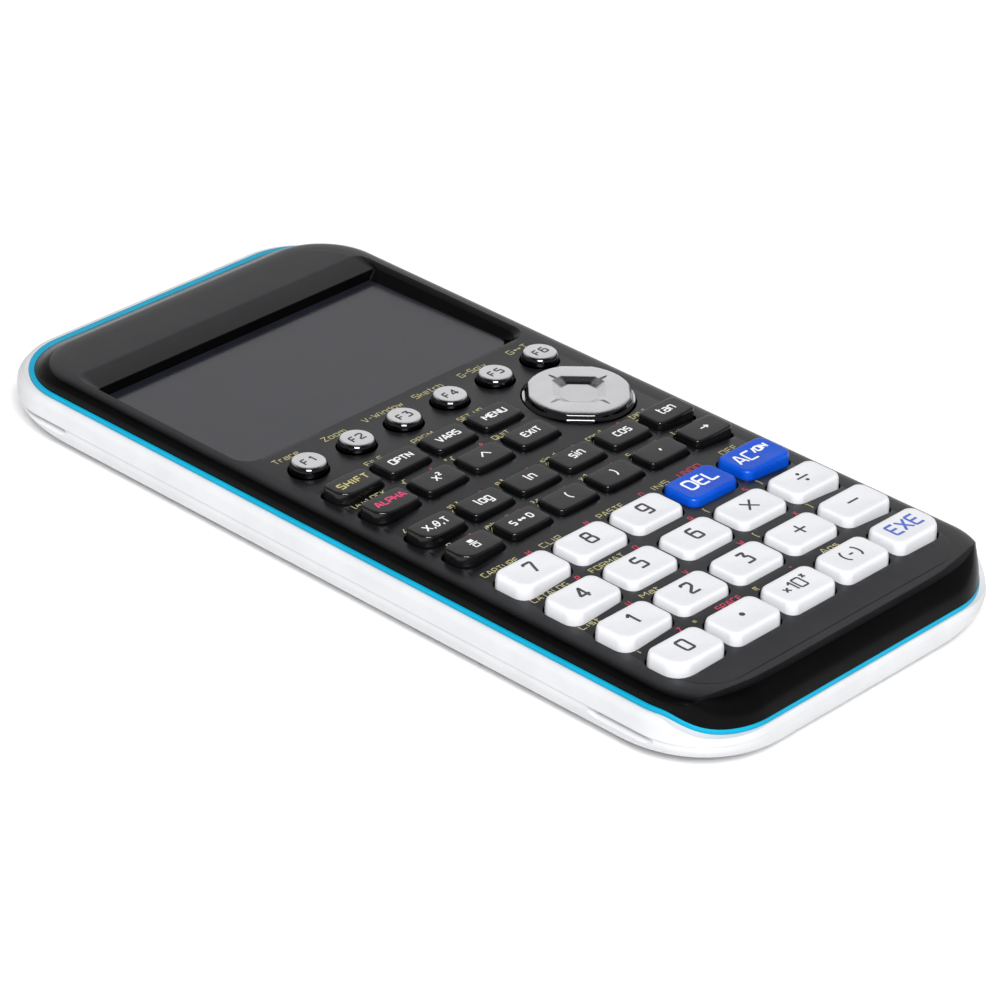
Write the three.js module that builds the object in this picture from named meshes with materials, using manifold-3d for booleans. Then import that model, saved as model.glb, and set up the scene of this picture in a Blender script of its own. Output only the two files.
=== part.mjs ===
// Graphing calculator: two-part case with a coloured seam band, screen window,
// display, keypad sheets, circuit board, four cells, battery door, 46 keys and a cursor pad.
// Millimetres. +X is the user's right, +Y runs from the user towards the screen end, +Z is up.
// The origin is on the table plane under the middle of the case.
import * as THREE from 'three';
import { mergeVertices } from 'three/addons/utils/BufferGeometryUtils.js';
import Module from 'manifold-3d';

const wasm = await Module();
wasm.setup();

// ---------------------------------------------------------------- dimensions
const CASE_LENGTH = 188.5;          // overall, near end to screen end
const CASE_WIDTH = 89.0;            // overall
const CASE_HEIGHT = 18.6;           // table to the top of the cursor pad
const SEAM_HALF_WIDTH = 43.14;      // seam line between the covers
const SEAM_FAR_Y = 92.45;
const SEAM_NEAR_Y = -93.65;
const SEAM_CORNER_R = 16.0;
const SEAM_Z = 12.15;               // middle of the seam band along the sides
const SEAM_NEAR_Z = 9.1;           // middle of the seam band across the near end
const BAND_HALF_HEIGHT = 0.5;
const BAND_THICKNESS = 1.5;
const LIP_TOP_Z = 12.35;            // rear cover lip outside the band at the screen end
const SEAM_GAP = 0.15;              // clearance between the band and each cover
const FACE_Z = 15.8;                // flat keypad face
const CROWN = 0.9;                  // how far the keypad face swells above FACE_Z between the keys
const FACE_UNDER_Z = 14.2;          // underside of the keypad face
const WALL = 1.8;                   // case wall thickness
const CREASE_Y = -89.4;             // where the face breaks into the near-end chamfer
const FLOOR_Z = 1.3;                // inside floor of the rear cover

const SCREEN_HALF_W = 39.2;         // screen recess at the face
const SCREEN_NEAR_Y = 25.7;
const SCREEN_FAR_Y = 73.6;          // top edge of the sloped bezel
const SCREEN_STEP_Y = 68.1;         // foot of the sloped bezel
const SCREEN_STEP_DROP = 1.0;
const SCREEN_CORNER_R = 4.0;
const SCREEN_WALL_RUN = 2.4;        // how far the recess walls lean in
const SCREEN_FLOOR_FAR = 12.75;     // recess floor at the screen end
const SCREEN_FLOOR_NEAR = 13.5;     // recess floor at the keypad end
const WINDOW_THICKNESS = 0.9;

const NUM_TOP_Z = 18.5, FUN_TOP_Z = 18.3, F_KEY_TOP_Z = 18.0;
const KEY_BOTTOM_Z = 13.65;
const KEY_HOLE_GAP = 0.35;
const NUM_W = 13.3, NUM_D = 8.6, NUM_R = 1.9;
const NUM_PITCH_X = 15.33, NUM_PITCH_Y = 12.23, NUM_ROW_Y = -40.26;
const FUN_W = 10.6, FUN_D = 6.6, FUN_R = 1.1;
const FUN_PITCH_X = 12.76;
const ROW_F_Y = 16.18, ROW_SHIFT_Y = 4.53, ROW_ALPHA_Y = -5.18, ROW_TRIG_Y = -17.05, ROW_BRACKET_Y = -26.65;
const F_KEY_R = 3.7;
const PAD_X = 25.3, PAD_Y = -0.25, PAD_R = 11.0, PAD_TOP_R = 10.1, PAD_TOP_Z = CASE_HEIGHT;

const MEMBRANE_Z = [12.2, 12.6];
const CONTACT_SHEET_Z = [11.78, 12.0];
const CELL_R = 5.15, CELL_LENGTH = 44.5, CELL_PITCH = 11.4, CELL_Z = 6.45, CELL_MID_Y = 2.0;
const BAY_HALF_W = 24.2, BAY_NEAR_Y = -23.2, BAY_FAR_Y = 26.0;
const DOOR_Z = [0.25, 1.1];
const DOOR_GAP = 0.35;
const BOARD_Z = [9.2, 10.2];

// ---------------------------------------------------------------- mesh helpers
// A closed solid through a stack of rings, each a list of [x, y, z] with the same count.
function loft(rings) {
  const n = rings[0].length, pos = [], idx = [];
  for (const r of rings) for (const p of r) pos.push(p[0], p[1], p[2]);
  for (let k = 0; k < rings.length - 1; k++) {
    for (let i = 0; i < n; i++) {
      const j = (i + 1) % n, a = k * n + i, b = k * n + j, c = (k + 1) * n + j, d = (k + 1) * n + i;
      idx.push(a, b, c, a, c, d);
    }
  }
  const cap = (ring, base, up) => {
    const tris = THREE.ShapeUtils.triangulateShape(ring.map(p => new THREE.Vector2(p[0], p[1])), []);
    for (const t of tris) {
      const [a, b, c] = t;
      const area = (ring[b][0] - ring[a][0]) * (ring[c][1] - ring[a][1]) - (ring[c][0] - ring[a][0]) * (ring[b][1] - ring[a][1]);
      if ((area > 0) === up) idx.push(base + a, base + b, base + c); else idx.push(base + a, base + c, base + b);
    }
  };
  cap(rings[0], 0, false);
  cap(rings[rings.length - 1], (rings.length - 1) * n, true);
  const g = new THREE.BufferGeometry();
  g.setAttribute('position', new THREE.Float32BufferAttribute(pos, 3));
  g.setIndex(idx);
  return g;
}

// Rounded rectangle, counter-clockwise, radii given per corner: near-left, near-right, far-right, far-left.
function roundRect(x0, x1, y0, y1, r, seg) {
  const rr = Array.isArray(r) ? r : [r, r, r, r], out = [];
  const corners = [[x0 + rr[0], y0 + rr[0], Math.PI, rr[0]], [x1 - rr[1], y0 + rr[1], 1.5 * Math.PI, rr[1]],
    [x1 - rr[2], y1 - rr[2], 0, rr[2]], [x0 + rr[3], y1 - rr[3], 0.5 * Math.PI, rr[3]]];
  for (const [cx, cy, a0, rad] of corners) {
    for (let i = 0; i <= seg; i++) {
      const a = a0 + (Math.PI / 2) * i / seg;
      out.push([cx + rad * Math.cos(a), cy + rad * Math.sin(a)]);
    }
  }
  return out;
}
const at = (outline, z) => outline.map(p => [p[0], p[1], z]);

function prism(outline, z0, z1) {
  const s = new THREE.Shape(outline.map(p => new THREE.Vector2(p[0], p[1])));
  const g = new THREE.ExtrudeGeometry(s, { depth: z1 - z0, bevelEnabled: false });
  g.translate(0, 0, z0);
  return g;
}
function box(x0, x1, y0, y1, z0, z1) {
  const g = new THREE.BoxGeometry(x1 - x0, y1 - y0, z1 - z0);
  g.translate((x0 + x1) / 2, (y0 + y1) / 2, (z0 + z1) / 2);
  return g;
}
// Solid whose section in the YZ plane is the outline, running from x0 to x1.
function sideways(outlineYZ, x0, x1) {
  const s = new THREE.Shape(outlineYZ.map(p => new THREE.Vector2(p[0], p[1])));
  const g = new THREE.ExtrudeGeometry(s, { depth: x1 - x0, bevelEnabled: false });
  g.applyMatrix4(new THREE.Matrix4().makeBasis(new THREE.Vector3(0, 1, 0), new THREE.Vector3(0, 0, 1), new THREE.Vector3(1, 0, 0)));
  g.translate(x0, 0, 0);
  return g;
}
function solid(geometry) {
  const g = geometry.clone();
  g.deleteAttribute('normal');
  g.deleteAttribute('uv');
  const m = mergeVertices(g, 1e-5);
  return new wasm.Manifold(new wasm.Mesh({ numProp: 3, vertProperties: new Float32Array(m.attributes.position.array), triVerts: new Uint32Array(m.index.array) }));
}
function geometry(manifold) {
  const m = manifold.getMesh(), g = new THREE.BufferGeometry();
  const p = new Float32Array(m.numVert * 3);
  for (let i = 0; i < m.numVert; i++) for (let k = 0; k < 3; k++) p[i * 3 + k] = m.vertProperties[i * m.numProp + k];
  g.setAttribute('position', new THREE.BufferAttribute(p, 3));
  g.setIndex(new THREE.BufferAttribute(new Uint32Array(m.triVerts), 1));
  g.computeVertexNormals();
  return g;
}
const cut = (a, ...tools) => tools.reduce((m, t) => m.subtract(t), a);
const join = (a, ...others) => others.reduce((m, t) => m.add(t), a);

const root = new THREE.Group();
root.name = 'graphing_calculator';
const LOOK = {
  black: { color: 0x232326, roughness: 0.55, metalness: 0 },
  accent: { color: 0x14a8d4, roughness: 0.35, metalness: 0 },
  white: { color: 0xeeeef0, roughness: 0.4, metalness: 0 },
  window: { color: 0x55555c, roughness: 0.2, metalness: 0 },
  display: { color: 0x3a3d42, roughness: 0.4, metalness: 0.2 },
  board: { color: 0x1f5a38, roughness: 0.6, metalness: 0 },
  rubber: { color: 0x8c8f92, roughness: 0.8, metalness: 0 },
  film: { color: 0xb58a3c, roughness: 0.4, metalness: 0 },
  cell: { color: 0x3f4a55, roughness: 0.35, metalness: 0.5 },
  keyWhite: { color: 0xe8e8ee, roughness: 0.35, metalness: 0 },
  keyBlack: { color: 0x17171a, roughness: 0.35, metalness: 0 },
  keyBlue: { color: 0x055feb, roughness: 0.35, metalness: 0 },
  chrome: { color: 0xcdcdd2, roughness: 0.12, metalness: 1 },
};
function add(name, geo, look, x = 0, y = 0, z = 0) {
  const mesh = new THREE.Mesh(geo, new THREE.MeshStandardMaterial(LOOK[look]));
  mesh.name = name;
  mesh.position.set(x, y, z);
  root.add(mesh);
  return mesh;
}

// ---------------------------------------------------------------- case outlines
// Seam outline grown by ox at the sides, of at the screen end and on at the near end.
function caseOutline(ox, of, on, r = SEAM_CORNER_R, seg = 7) {
  return roundRect(-SEAM_HALF_WIDTH - ox, SEAM_HALF_WIDTH + ox, SEAM_NEAR_Y - on, SEAM_FAR_Y + of, r, seg);
}
const inset = (d, seg = 7) => caseOutline(-d, -d, -d, Math.max(SEAM_CORNER_R - d, 2), seg);

// The seam runs level along the sides and dips across the near corners to the near end.
const SEAM_CURVE = [[120, 0], [-82.8, 0], [-84.4, -0.75], [-86.6, -1.65], [-88.2, -2.35], [-90.2, -2.85], [-92.3, -3.02], [-120, -3.05]]
  .map(([y, dz]) => [y, SEAM_Z + dz]);
function seamZ(y) {
  for (let i = 0; i < SEAM_CURVE.length - 1; i++) {
    const [ya, za] = SEAM_CURVE[i], [yb, zb] = SEAM_CURVE[i + 1];
    if (y <= ya && y >= yb) return za + (zb - za) * (ya - y) / (ya - yb);
  }
  return SEAM_NEAR_Z;
}
const seamShift = dz => SEAM_CURVE.map(([y, z]) => [y, z + dz]);
// Everything above or below the seam surface shifted by dz.
const aboveSeam = dz => solid(sideways([...seamShift(dz), [-120, 40], [120, 40]].reverse(), -60, 60));
const belowSeam = dz => solid(sideways([...seamShift(dz), [-120, -20], [120, -20]], -60, 60));

// ---------------------------------------------------------------- keys
const COLS5 = [-2, -1, 0, 1, 2].map(c => c * NUM_PITCH_X);
const COLS6 = [-2.5, -1.5, -0.5, 0.5, 1.5, 2.5].map(c => c * FUN_PITCH_X);
const keys = [];
COLS6.forEach((x, i) => keys.push({ name: `key_f${i + 1}`, kind: 'round', x, y: ROW_F_Y }));
const functionRows = [
  [ROW_SHIFT_Y, ['key_shift', 'key_options', 'key_variables', 'key_menu']],
  [ROW_ALPHA_Y, ['key_alpha', 'key_square', 'key_power', 'key_exit']],
  [ROW_TRIG_Y, ['key_x_theta_t', 'key_log', 'key_ln', 'key_sin', 'key_cos', 'key_tan']],
  [ROW_BRACKET_Y, ['key_fraction', 'key_convert', 'key_open_bracket', 'key_close_bracket', 'key_comma', 'key_store']],
];
for (const [y, names] of functionRows) names.forEach((name, i) => keys.push({ name, kind: 'function', x: COLS6[i], y, r: i === 0 ? [2.4, FUN_R, FUN_R, FUN_R] : FUN_R }));
const numberRows = [
  ['key_7', 'key_8', 'key_9', 'key_delete', 'key_all_clear'],
  ['key_4', 'key_5', 'key_6', 'key_multiply', 'key_divide'],
  ['key_1', 'key_2', 'key_3', 'key_plus', 'key_minus'],
  ['key_0', 'key_point', 'key_exponent', 'key_negative', 'key_execute'],
];
numberRows.forEach((names, row) => names.forEach((name, i) => {
  const r = [NUM_R, NUM_R, NUM_R, NUM_R];
  if (i === 0) r[0] = row === 3 ? 3.6 : 2.6;
  if (i === 4 && row === 3) r[1] = 3.6;
  keys.push({ name, kind: 'number', x: COLS5[i], y: NUM_ROW_Y - row * NUM_PITCH_Y, r, look: row === 0 && i > 2 ? 'keyBlue' : 'keyWhite' });
}));
function circle(r, n) {
  return Array.from({ length: n }, (_, i) => [r * Math.cos((i + 0.5) * 2 * Math.PI / n), r * Math.sin((i + 0.5) * 2 * Math.PI / n)]);
}
function keyOutline(k, grow) {
  if (k.kind === 'round') return circle(F_KEY_R + grow, 14);
  const w = k.kind === 'number' ? NUM_W : FUN_W, d = k.kind === 'number' ? NUM_D : FUN_D;
  const r = (Array.isArray(k.r) ? k.r : [k.r, k.r, k.r, k.r]).map(v => Math.max(v + grow, 0.3));
  return roundRect(-w / 2 - grow, w / 2 + grow, -d / 2 - grow, d / 2 + grow, r, 2);
}

// ---------------------------------------------------------------- front cover
const ease = t => { const c = Math.min(Math.max(t, 0), 1); return c * c * (3 - 2 * c); };
const crown = (x, y) => CROWN * Math.max(0, 1 - (Math.abs(x) / 36.9) ** 4) * ease((26 - y) / 24) * ease((y + 89) / 27);
// Rolled edge of the face: [inset at the sides, inset at the screen end, height].
const shoulder = [[0.4, 1.35, 8.0], [0.4, 1.4, 12.5], [0.48, 3.0, 13.6], [0.8, 4.6, 14.5], [1.5, 5.9, 15.15], [2.7, 7.0, 15.55], [4.2, 8.2, 15.73], [6.2, 9.8, FACE_Z]];
let front = solid(loft(shoulder.map(([d, df, z]) => at(caseOutline(-d, -df, 0.4 - d, SEAM_CORNER_R - (d + df) / 2.4), z))));
// Keypad crown: the face swells a little between the keys.
{
  const xs = [-36.9, -35.5, -33, -29, -24, -18, -10, 0, 10, 18, 24, 29, 33, 35.5, 36.9];
  const ys = [26, 22, 18, 14, 10, 6, 2, -30, -62, -66, -70, -74, -78, -82, -86, -89];
  const g = loft(xs.map(x => [[-89, FACE_Z - 0.8, x], [26, FACE_Z - 0.8, x], ...ys.map(y => [y, FACE_Z + crown(x, y), x])]));
  const p = g.attributes.position;
  for (let i = 0; i < p.count; i++) p.setXYZ(i, p.getZ(i), p.getX(i), p.getY(i));
  front = front.add(solid(g).intersect(solid(prism(caseOutline(-6.2, -9.8, -5.8, 9.3), 5, 20))));
}
// Near-end chamfer: the face breaks along a shallow curve and rolls down to the seam.
const nearOutlineY = x => {
  const over = Math.abs(x) - (SEAM_HALF_WIDTH - SEAM_CORNER_R);
  return over <= 0 ? SEAM_NEAR_Y : SEAM_NEAR_Y + SEAM_CORNER_R - Math.sqrt(Math.max(SEAM_CORNER_R ** 2 - over ** 2, 0));
};
const creaseY = x => CREASE_Y + (Math.abs(x) > 16 ? 4.1 * ((Math.abs(x) - 16) / 25.5) ** 3 : 0);
const CHAMFER = [[0, 0], [0.34, 0.13], [0.64, 0.34], [0.87, 0.64], [1, 1]];
const chamferX = [-46, -41.8, -40.4, -38, -34.5, -30, -24, -16, 16, 24, 30, 34.5, 38, 40.4, 41.8, 46];
const chamferRings = chamferX.map(xx => {
  const x = Math.sign(xx) * Math.min(Math.abs(xx), 41.8);
  const y0 = creaseY(x), y1 = Math.min(nearOutlineY(x), y0 - 0.05), z1 = Math.min(seamZ(y1) + BAND_HALF_HEIGHT, FACE_Z - 0.3);
  const pts = CHAMFER.map(([s, t]) => [xx, y0 + (y1 - y0) * s, FACE_Z + (z1 - FACE_Z) * t]);
  return [[xx, -110, 20], [xx, -110, 6], [xx, y1 - 1.2, 6], ...pts.reverse(), [xx, y0 + 0.3, 20]];
});
{
  // The cutter is lofted along X, so its rings are turned into the loft's frame and back.
  const turned = chamferRings.map(r => r.map(([x, y, z]) => [y, z, x]));
  const g = loft(turned);
  const p = g.attributes.position;
  for (let i = 0; i < p.count; i++) p.setXYZ(i, p.getZ(i), p.getX(i), p.getY(i));
  front = front.subtract(solid(g));
}
front = front.intersect(aboveSeam(BAND_HALF_HEIGHT + SEAM_GAP));
// Hollow underneath.
front = cut(front, solid(prism(roundRect(-SEAM_HALF_WIDTH + WALL + 0.6, SEAM_HALF_WIDTH - WALL - 0.6, -86.0, SEAM_FAR_Y - 6.0, 10, 4), 5, FACE_UNDER_Z)), solid(prism(roundRect(-SEAM_HALF_WIDTH + WALL + 0.6, SEAM_HALF_WIDTH - WALL - 0.6, -91.2, 0, [13.5, 13.5, 1, 1], 4), 5, 11.2)));
// Screen tray: material under the recess, then the recess itself.
const trayFloor = (y, dz) => SCREEN_FLOOR_NEAR + (SCREEN_FLOOR_FAR - SCREEN_FLOOR_NEAR) * (y - 28.5) / (SCREEN_STEP_Y - 28.5) + dz;
const slab = (x0, x1, y0, y1, lo, hi) => solid(sideways([[y0, trayFloor(y0, lo)], [y1, trayFloor(y1, lo)], [y1, hi], [y0, hi]], x0, x1));
front = join(front, slab(-41.2, 41.2, 23.8, 76.2, -2.1, 15.0));
{
  const w = SCREEN_HALF_W, n = SCREEN_NEAR_Y, e = SCREEN_WALL_RUN, R = SCREEN_CORNER_R;
  const top = roundRect(-w, w, n, SCREEN_FAR_Y, [R, R, 2.4, 2.4], 4);
  const over = roundRect(-w - 0.9, w + 0.9, n - 0.9, SCREEN_FAR_Y + 5.4, [R, R, 2.4, 2.4], 4);
  const s = SCREEN_STEP_DROP / (FACE_Z - SCREEN_FLOOR_NEAR);
  const step = roundRect(-w + e * s, w - e * s, n + e * s, SCREEN_STEP_Y, [R, R, 0.8, 0.8], 4);
  const foot = roundRect(-w + e, w - e, n + e, SCREEN_STEP_Y, [R - 1, R - 1, 0.8, 0.8], 4);
  const deep = foot.map(p => [p[0], p[1], trayFloor(p[1], 0)]);
  front = front.subtract(solid(loft([deep, at(step, FACE_Z - SCREEN_STEP_DROP), at(top, FACE_Z), at(over, FACE_Z + 1.0)])));
  // Seat for the window plate and the viewing opening under it.
  front = front.subtract(slab(-w + e + 0.15, w - e - 0.15, n + e + 0.15, SCREEN_STEP_Y - 0.15, -WINDOW_THICKNESS - 0.2, 15));
  front = front.subtract(solid(box(-34.6, 34.6, 30.2, 66.2, 5, 15)));
}
for (const k of keys) front = front.subtract(solid(prism(keyOutline(k, KEY_HOLE_GAP).map(p => [p[0] + k.x, p[1] + k.y]), 12, 18)));
front = front.subtract(solid(prism(circle(PAD_R + KEY_HOLE_GAP, 28).map(p => [p[0] + PAD_X, p[1] + PAD_Y]), 12, 18)));
add('front_cover', geometry(front), 'black');

// ---------------------------------------------------------------- seam band
{
  let band = solid(loft([at(caseOutline(0.08, 0.08, 0.08, SEAM_CORNER_R), 7), at(caseOutline(0.05, 0.05, 0.05, SEAM_CORNER_R), 17)]));
  band = band.subtract(solid(prism(inset(BAND_THICKNESS), 5, 20)));
  band = band.intersect(aboveSeam(-BAND_HALF_HEIGHT)).intersect(belowSeam(BAND_HALF_HEIGHT));
  add('accent_band', geometry(band), 'accent');
}

// ---------------------------------------------------------------- rear cover
// [height, growth at the sides, at the screen end, at the near end, corner radius]
const REAR = [
  [0.0, -6.9, -6.0, -6.6, 20.5], [0.35, -4.8, -3.6, -4.6, 22.0], [1.1, -3.0, -1.7, -2.7, 22.6], [2.2, -1.25, -0.2, -1.15, 21.2],
  [3.6, 0.15, 0.8, 0.0, 18.4], [5.4, 0.95, 1.4, 0.5, 16.2], [7.0, 1.1, 1.55, 0.6, 15.7], [7.3, 1.36, 1.8, 0.6, 15.6],
  [9.2, 1.36, 1.8, 0.2, 15.6], [10.4, 1.3, 1.8, 0.1, 15.6], [11.4, 0.85, 1.6, 0.1, 15.8], [11.9, 0.1, 1.0, 0.1, 16.0],
];
const SLOT = { z0: 6.3, z1: 7.7, depth: 0.6, ranges: [[-82.5, -66], [70, 86]] };
{
  let rear = solid(loft(REAR.map(([z, ox, of, on, r]) => at(caseOutline(ox, of, on, r), z))));
  rear = rear.intersect(belowSeam(-BAND_HALF_HEIGHT - SEAM_GAP));
  const cavity = REAR.filter(([z]) => z >= 3.6 && z !== 7.3 && z !== 10.4).map(([z, ox, of, on, r]) => at(caseOutline(ox - WALL - 0.7, of - WALL - 0.7, on - WALL - 0.7, r - WALL - 0.7, 4), z));
  const c0 = caseOutline(-6.6, -5.6, -6.4, 20, 4);
  rear = rear.subtract(solid(loft([at(c0, FLOOR_Z), ...cavity, at(caseOutline(-2.5, -2.0, -2.5, 12, 4), 20)])));
  // Lip that rises outside the band at the screen end, fading out along the corners.
  let lip = solid(loft([at(caseOutline(1.15, 1.72, 0, 15.6), 10.6), at(caseOutline(0.7, 1.64, 0, 15.8), 11.6), at(caseOutline(0.2, 1.5, 0, 16), 12.1), at(caseOutline(-0.3, 1.1, 0, 16), LIP_TOP_Z)]));
  lip = lip.intersect(solid(sideways([[78, 5], [120, 5], [120, LIP_TOP_Z], [91, LIP_TOP_Z], [78, SEAM_Z - BAND_HALF_HEIGHT - SEAM_GAP]], -60, 60)));
  lip = lip.subtract(solid(prism(inset(-0.08 - SEAM_GAP), 5, 20)));
  rear = rear.add(lip);
  // Battery bay: opening in the floor, and a rib wall round the cells.
  const bay = roundRect(-BAY_HALF_W, BAY_HALF_W, BAY_NEAR_Y, BAY_FAR_Y, 1.5, 2);
  const rib = solid(prism(roundRect(-BAY_HALF_W - 1.2, BAY_HALF_W + 1.2, BAY_NEAR_Y - 1.2, BAY_FAR_Y + 1.2, 2, 2), FLOOR_Z - 0.3, 8.0));
  rear = rear.add(rib).subtract(solid(prism(bay, -1, 9)));
  // Screw posts.
  for (const [x, y] of [[-29.5, -72], [29.5, -72], [-29.5, -6], [29.5, -6], [-29.5, 80], [29.5, 80]]) {
    rear = rear.add(solid(prism(circle(2.6, 12).map(p => [p[0] + x, p[1] + y]), FLOOR_Z - 0.2, 8.6)));
    rear = rear.subtract(solid(prism(circle(1.9, 12).map(p => [p[0] + x, p[1] + y]), -1, 6.2)));
  }
  // Rail slots for a slide-on lid, two on each side.
  for (const side of [-1, 1]) {
    for (const [y0, y1] of SLOT.ranges) {
      const x0 = side * (SEAM_HALF_WIDTH - SLOT.depth), x1 = side * 50;
      rear = rear.subtract(solid(box(Math.min(x0, x1), Math.max(x0, x1), y0, y1, SLOT.z0, SLOT.z1)));
    }
  }
  add('rear_cover', geometry(rear), 'white');
}

// ---------------------------------------------------------------- battery door and cells
{
  const g = DOOR_GAP;
  let door = solid(prism(roundRect(-BAY_HALF_W + g, BAY_HALF_W - g, BAY_NEAR_Y + g, BAY_FAR_Y - g, 1.2, 2), DOOR_Z[0], DOOR_Z[1]));
  // Finger scoop.
  door = door.subtract(solid(box(-7, 7, BAY_NEAR_Y + 2.5, BAY_NEAR_Y + 6.5, -1, DOOR_Z[0] + 0.35)));
  add('battery_door', geometry(door), 'white');
}
for (let i = 0; i < 4; i++) {
  const flip = i % 2 ? -1 : 1;
  const e = CELL_LENGTH / 2;
  const profile = [[0, -e], [CELL_R - 0.4, -e], [CELL_R, -e + 0.5], [CELL_R, e - 1.3], [CELL_R - 0.5, e - 0.8], [1.9, e - 0.8], [1.9, e], [0, e]];
  const g = new THREE.LatheGeometry(profile.map(p => new THREE.Vector2(p[0], p[1])), 14);
  const cell = geometry(solid(g));
  if (flip < 0) cell.rotateX(Math.PI);
  add(`battery_cell_${i + 1}`, cell, 'cell', (i - 1.5) * CELL_PITCH, CELL_MID_Y, CELL_Z);
}

// ---------------------------------------------------------------- screen window and display
{
  const w = SCREEN_HALF_W - SCREEN_WALL_RUN - 0.4, y0 = SCREEN_NEAR_Y + SCREEN_WALL_RUN + 0.4, y1 = SCREEN_STEP_Y - 0.4;
  add('screen_window', geometry(slab(-w, w, y0, y1, -WINDOW_THICKNESS, 20).intersect(solid(sideways([[y0 - 1, 5], [y1 + 1, 5], [y1 + 1, trayFloor(y1 + 1, 0)], [y0 - 1, trayFloor(y0 - 1, 0)]], -50, 50)))
    .intersect(solid(prism(roundRect(-w, w, y0, y1, [2.6, 2.6, 0.5, 0.5], 3), 5, 20)))), 'window');
  const panel = solid(box(-37.4, 37.4, 27.4, 73.0, 6.9, 10.2));
  const glass = solid(box(-34.0, 34.0, 30.8, 65.6, 9.8, 11.2));
  add('display_module', geometry(panel.add(glass)), 'display');
}

// ---------------------------------------------------------------- keypad sheets and board
add('keypad_membrane', prism(roundRect(-39.6, 39.6, -83.0, 22.6, 3, 3), MEMBRANE_Z[0], MEMBRANE_Z[1]), 'rubber');
add('key_contact_sheet', prism(roundRect(-39.0, 39.0, -82.5, 22.2, 3, 3), CONTACT_SHEET_Z[0], CONTACT_SHEET_Z[1]), 'film');
{
  let board = solid(prism(roundRect(-37.0, 37.0, -81.5, -26.5, 2, 2), BOARD_Z[0], BOARD_Z[1]));
  for (const x of [-29.5, 29.5]) board = board.subtract(solid(prism(circle(3.2, 10).map(p => [p[0] + x, p[1] - 72]), 5, 15)));
  for (const [x, y, w, d, h] of [[0, -52, 14, 14, 1.4], [-20, -44, 10, 6, 1.0], [18, -62, 8, 8, 1.0]]) {
    board = board.add(solid(box(x - w / 2, x + w / 2, y - d / 2, y + d / 2, BOARD_Z[0] - h, BOARD_Z[0] + 0.2)));
  }
  add('circuit_board', geometry(board), 'board');
}

// ---------------------------------------------------------------- key caps
for (const k of keys) {
  let g, look;
  if (k.kind === 'round') {
    g = loft([[0, KEY_BOTTOM_Z], [0, 16.4], [-0.3, 17.6], [-0.8, F_KEY_TOP_Z]].map(([d, z]) => at(circle(F_KEY_R + d, 14), z)));
    look = 'chrome';
  } else if (k.kind === 'number') {
    g = loft([[0, KEY_BOTTOM_Z], [0, 16.9], [-0.45, 18.0], [-1.3, NUM_TOP_Z]].map(([d, z]) => at(keyOutline(k, d), z)));
    look = k.look;
  } else {
    g = loft([[0, KEY_BOTTOM_Z], [0, 16.6], [-0.3, 18.05], [-0.6, FUN_TOP_Z]].map(([d, z]) => at(keyOutline(k, d), z)));
    look = 'keyBlack';
  }
  add(k.name, g, look, k.x, k.y, 0);
}
{
  // Cursor pad: a dished disc with four arrow notches.
  const disc = loft([[PAD_R, KEY_BOTTOM_Z], [PAD_R, 17.1], [PAD_R - 0.35, 17.6], [PAD_TOP_R - 0.1, 18.1], [PAD_TOP_R - 1.0, PAD_TOP_Z]].map(([r, z]) => at(circle(r, 28), z)));
  const dish = loft([at(circle(3.2, 16), 17.7), at(circle(5.4, 16), 18.8)]);
  let pad = solid(disc).subtract(solid(dish));
  for (let i = 0; i < 4; i++) {
    const notch = box(-0.9, 0.9, 6.2, 7.9, 18.2, 19);
    notch.rotateZ(i * Math.PI / 2);
    pad = pad.subtract(solid(notch));
  }
  add('cursor_pad', geometry(pad), 'chrome', PAD_X, PAD_Y, 0);
}

export default root;
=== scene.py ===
import math

import bmesh
import bpy
from mathutils import Matrix, Vector
from mathutils.bvhtree import BVHTree


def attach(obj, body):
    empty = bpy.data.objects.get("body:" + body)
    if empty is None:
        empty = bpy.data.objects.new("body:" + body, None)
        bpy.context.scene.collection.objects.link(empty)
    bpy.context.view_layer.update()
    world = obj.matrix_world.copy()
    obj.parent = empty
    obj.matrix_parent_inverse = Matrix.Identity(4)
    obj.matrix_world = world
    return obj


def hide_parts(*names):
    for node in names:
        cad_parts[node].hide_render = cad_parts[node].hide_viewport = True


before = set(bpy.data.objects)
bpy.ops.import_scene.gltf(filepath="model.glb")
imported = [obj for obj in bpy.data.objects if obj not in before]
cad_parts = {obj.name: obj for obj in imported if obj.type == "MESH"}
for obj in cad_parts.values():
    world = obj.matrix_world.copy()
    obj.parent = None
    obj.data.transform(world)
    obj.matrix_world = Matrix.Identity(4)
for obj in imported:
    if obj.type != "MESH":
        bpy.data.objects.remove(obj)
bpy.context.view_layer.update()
MM = 0.001

# ------------------------------------------------------------------ sizes, in mm, as in the CAD
SEAM_HALF_WIDTH, SEAM_FAR_Y, SEAM_NEAR_Y, SEAM_R = 43.14, 92.45, -93.65, 16.0
SEAM_Z, BAND_HALF, LIP_TOP = 12.15, 0.5, 12.35
FACE_Z, FACE_UNDER_Z, WALL, CREASE_Y, FLOOR_Z = 15.8, 14.2, 1.8, -89.4, 1.3
SCR_W, SCR_N, SCR_F, SCR_STEP = 39.2, 25.7, 73.6, 68.1
SCR_R, SCR_RUN, SCR_DROP = 4.0, 2.4, 1.0
FLOOR_FAR, FLOOR_NEAR, GLASS = 12.75, 13.5, 0.9
NUM_X, NUM_Y, NUM_ROW = 15.33, 12.23, -40.26
FUN_X = 12.76
ROW_F, ROW_SHIFT, ROW_ALPHA, ROW_TRIG, ROW_BRACKET = 16.18, 4.53, -5.18, -17.05, -26.65
NUM_W, NUM_D, NUM_R = 13.3, 8.6, 1.9
FUN_W, FUN_D, FUN_R = 10.6, 6.6, 1.1
F_R, PAD_X, PAD_Y, PAD_R = 3.7, 25.3, -0.25, 11.0
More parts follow.
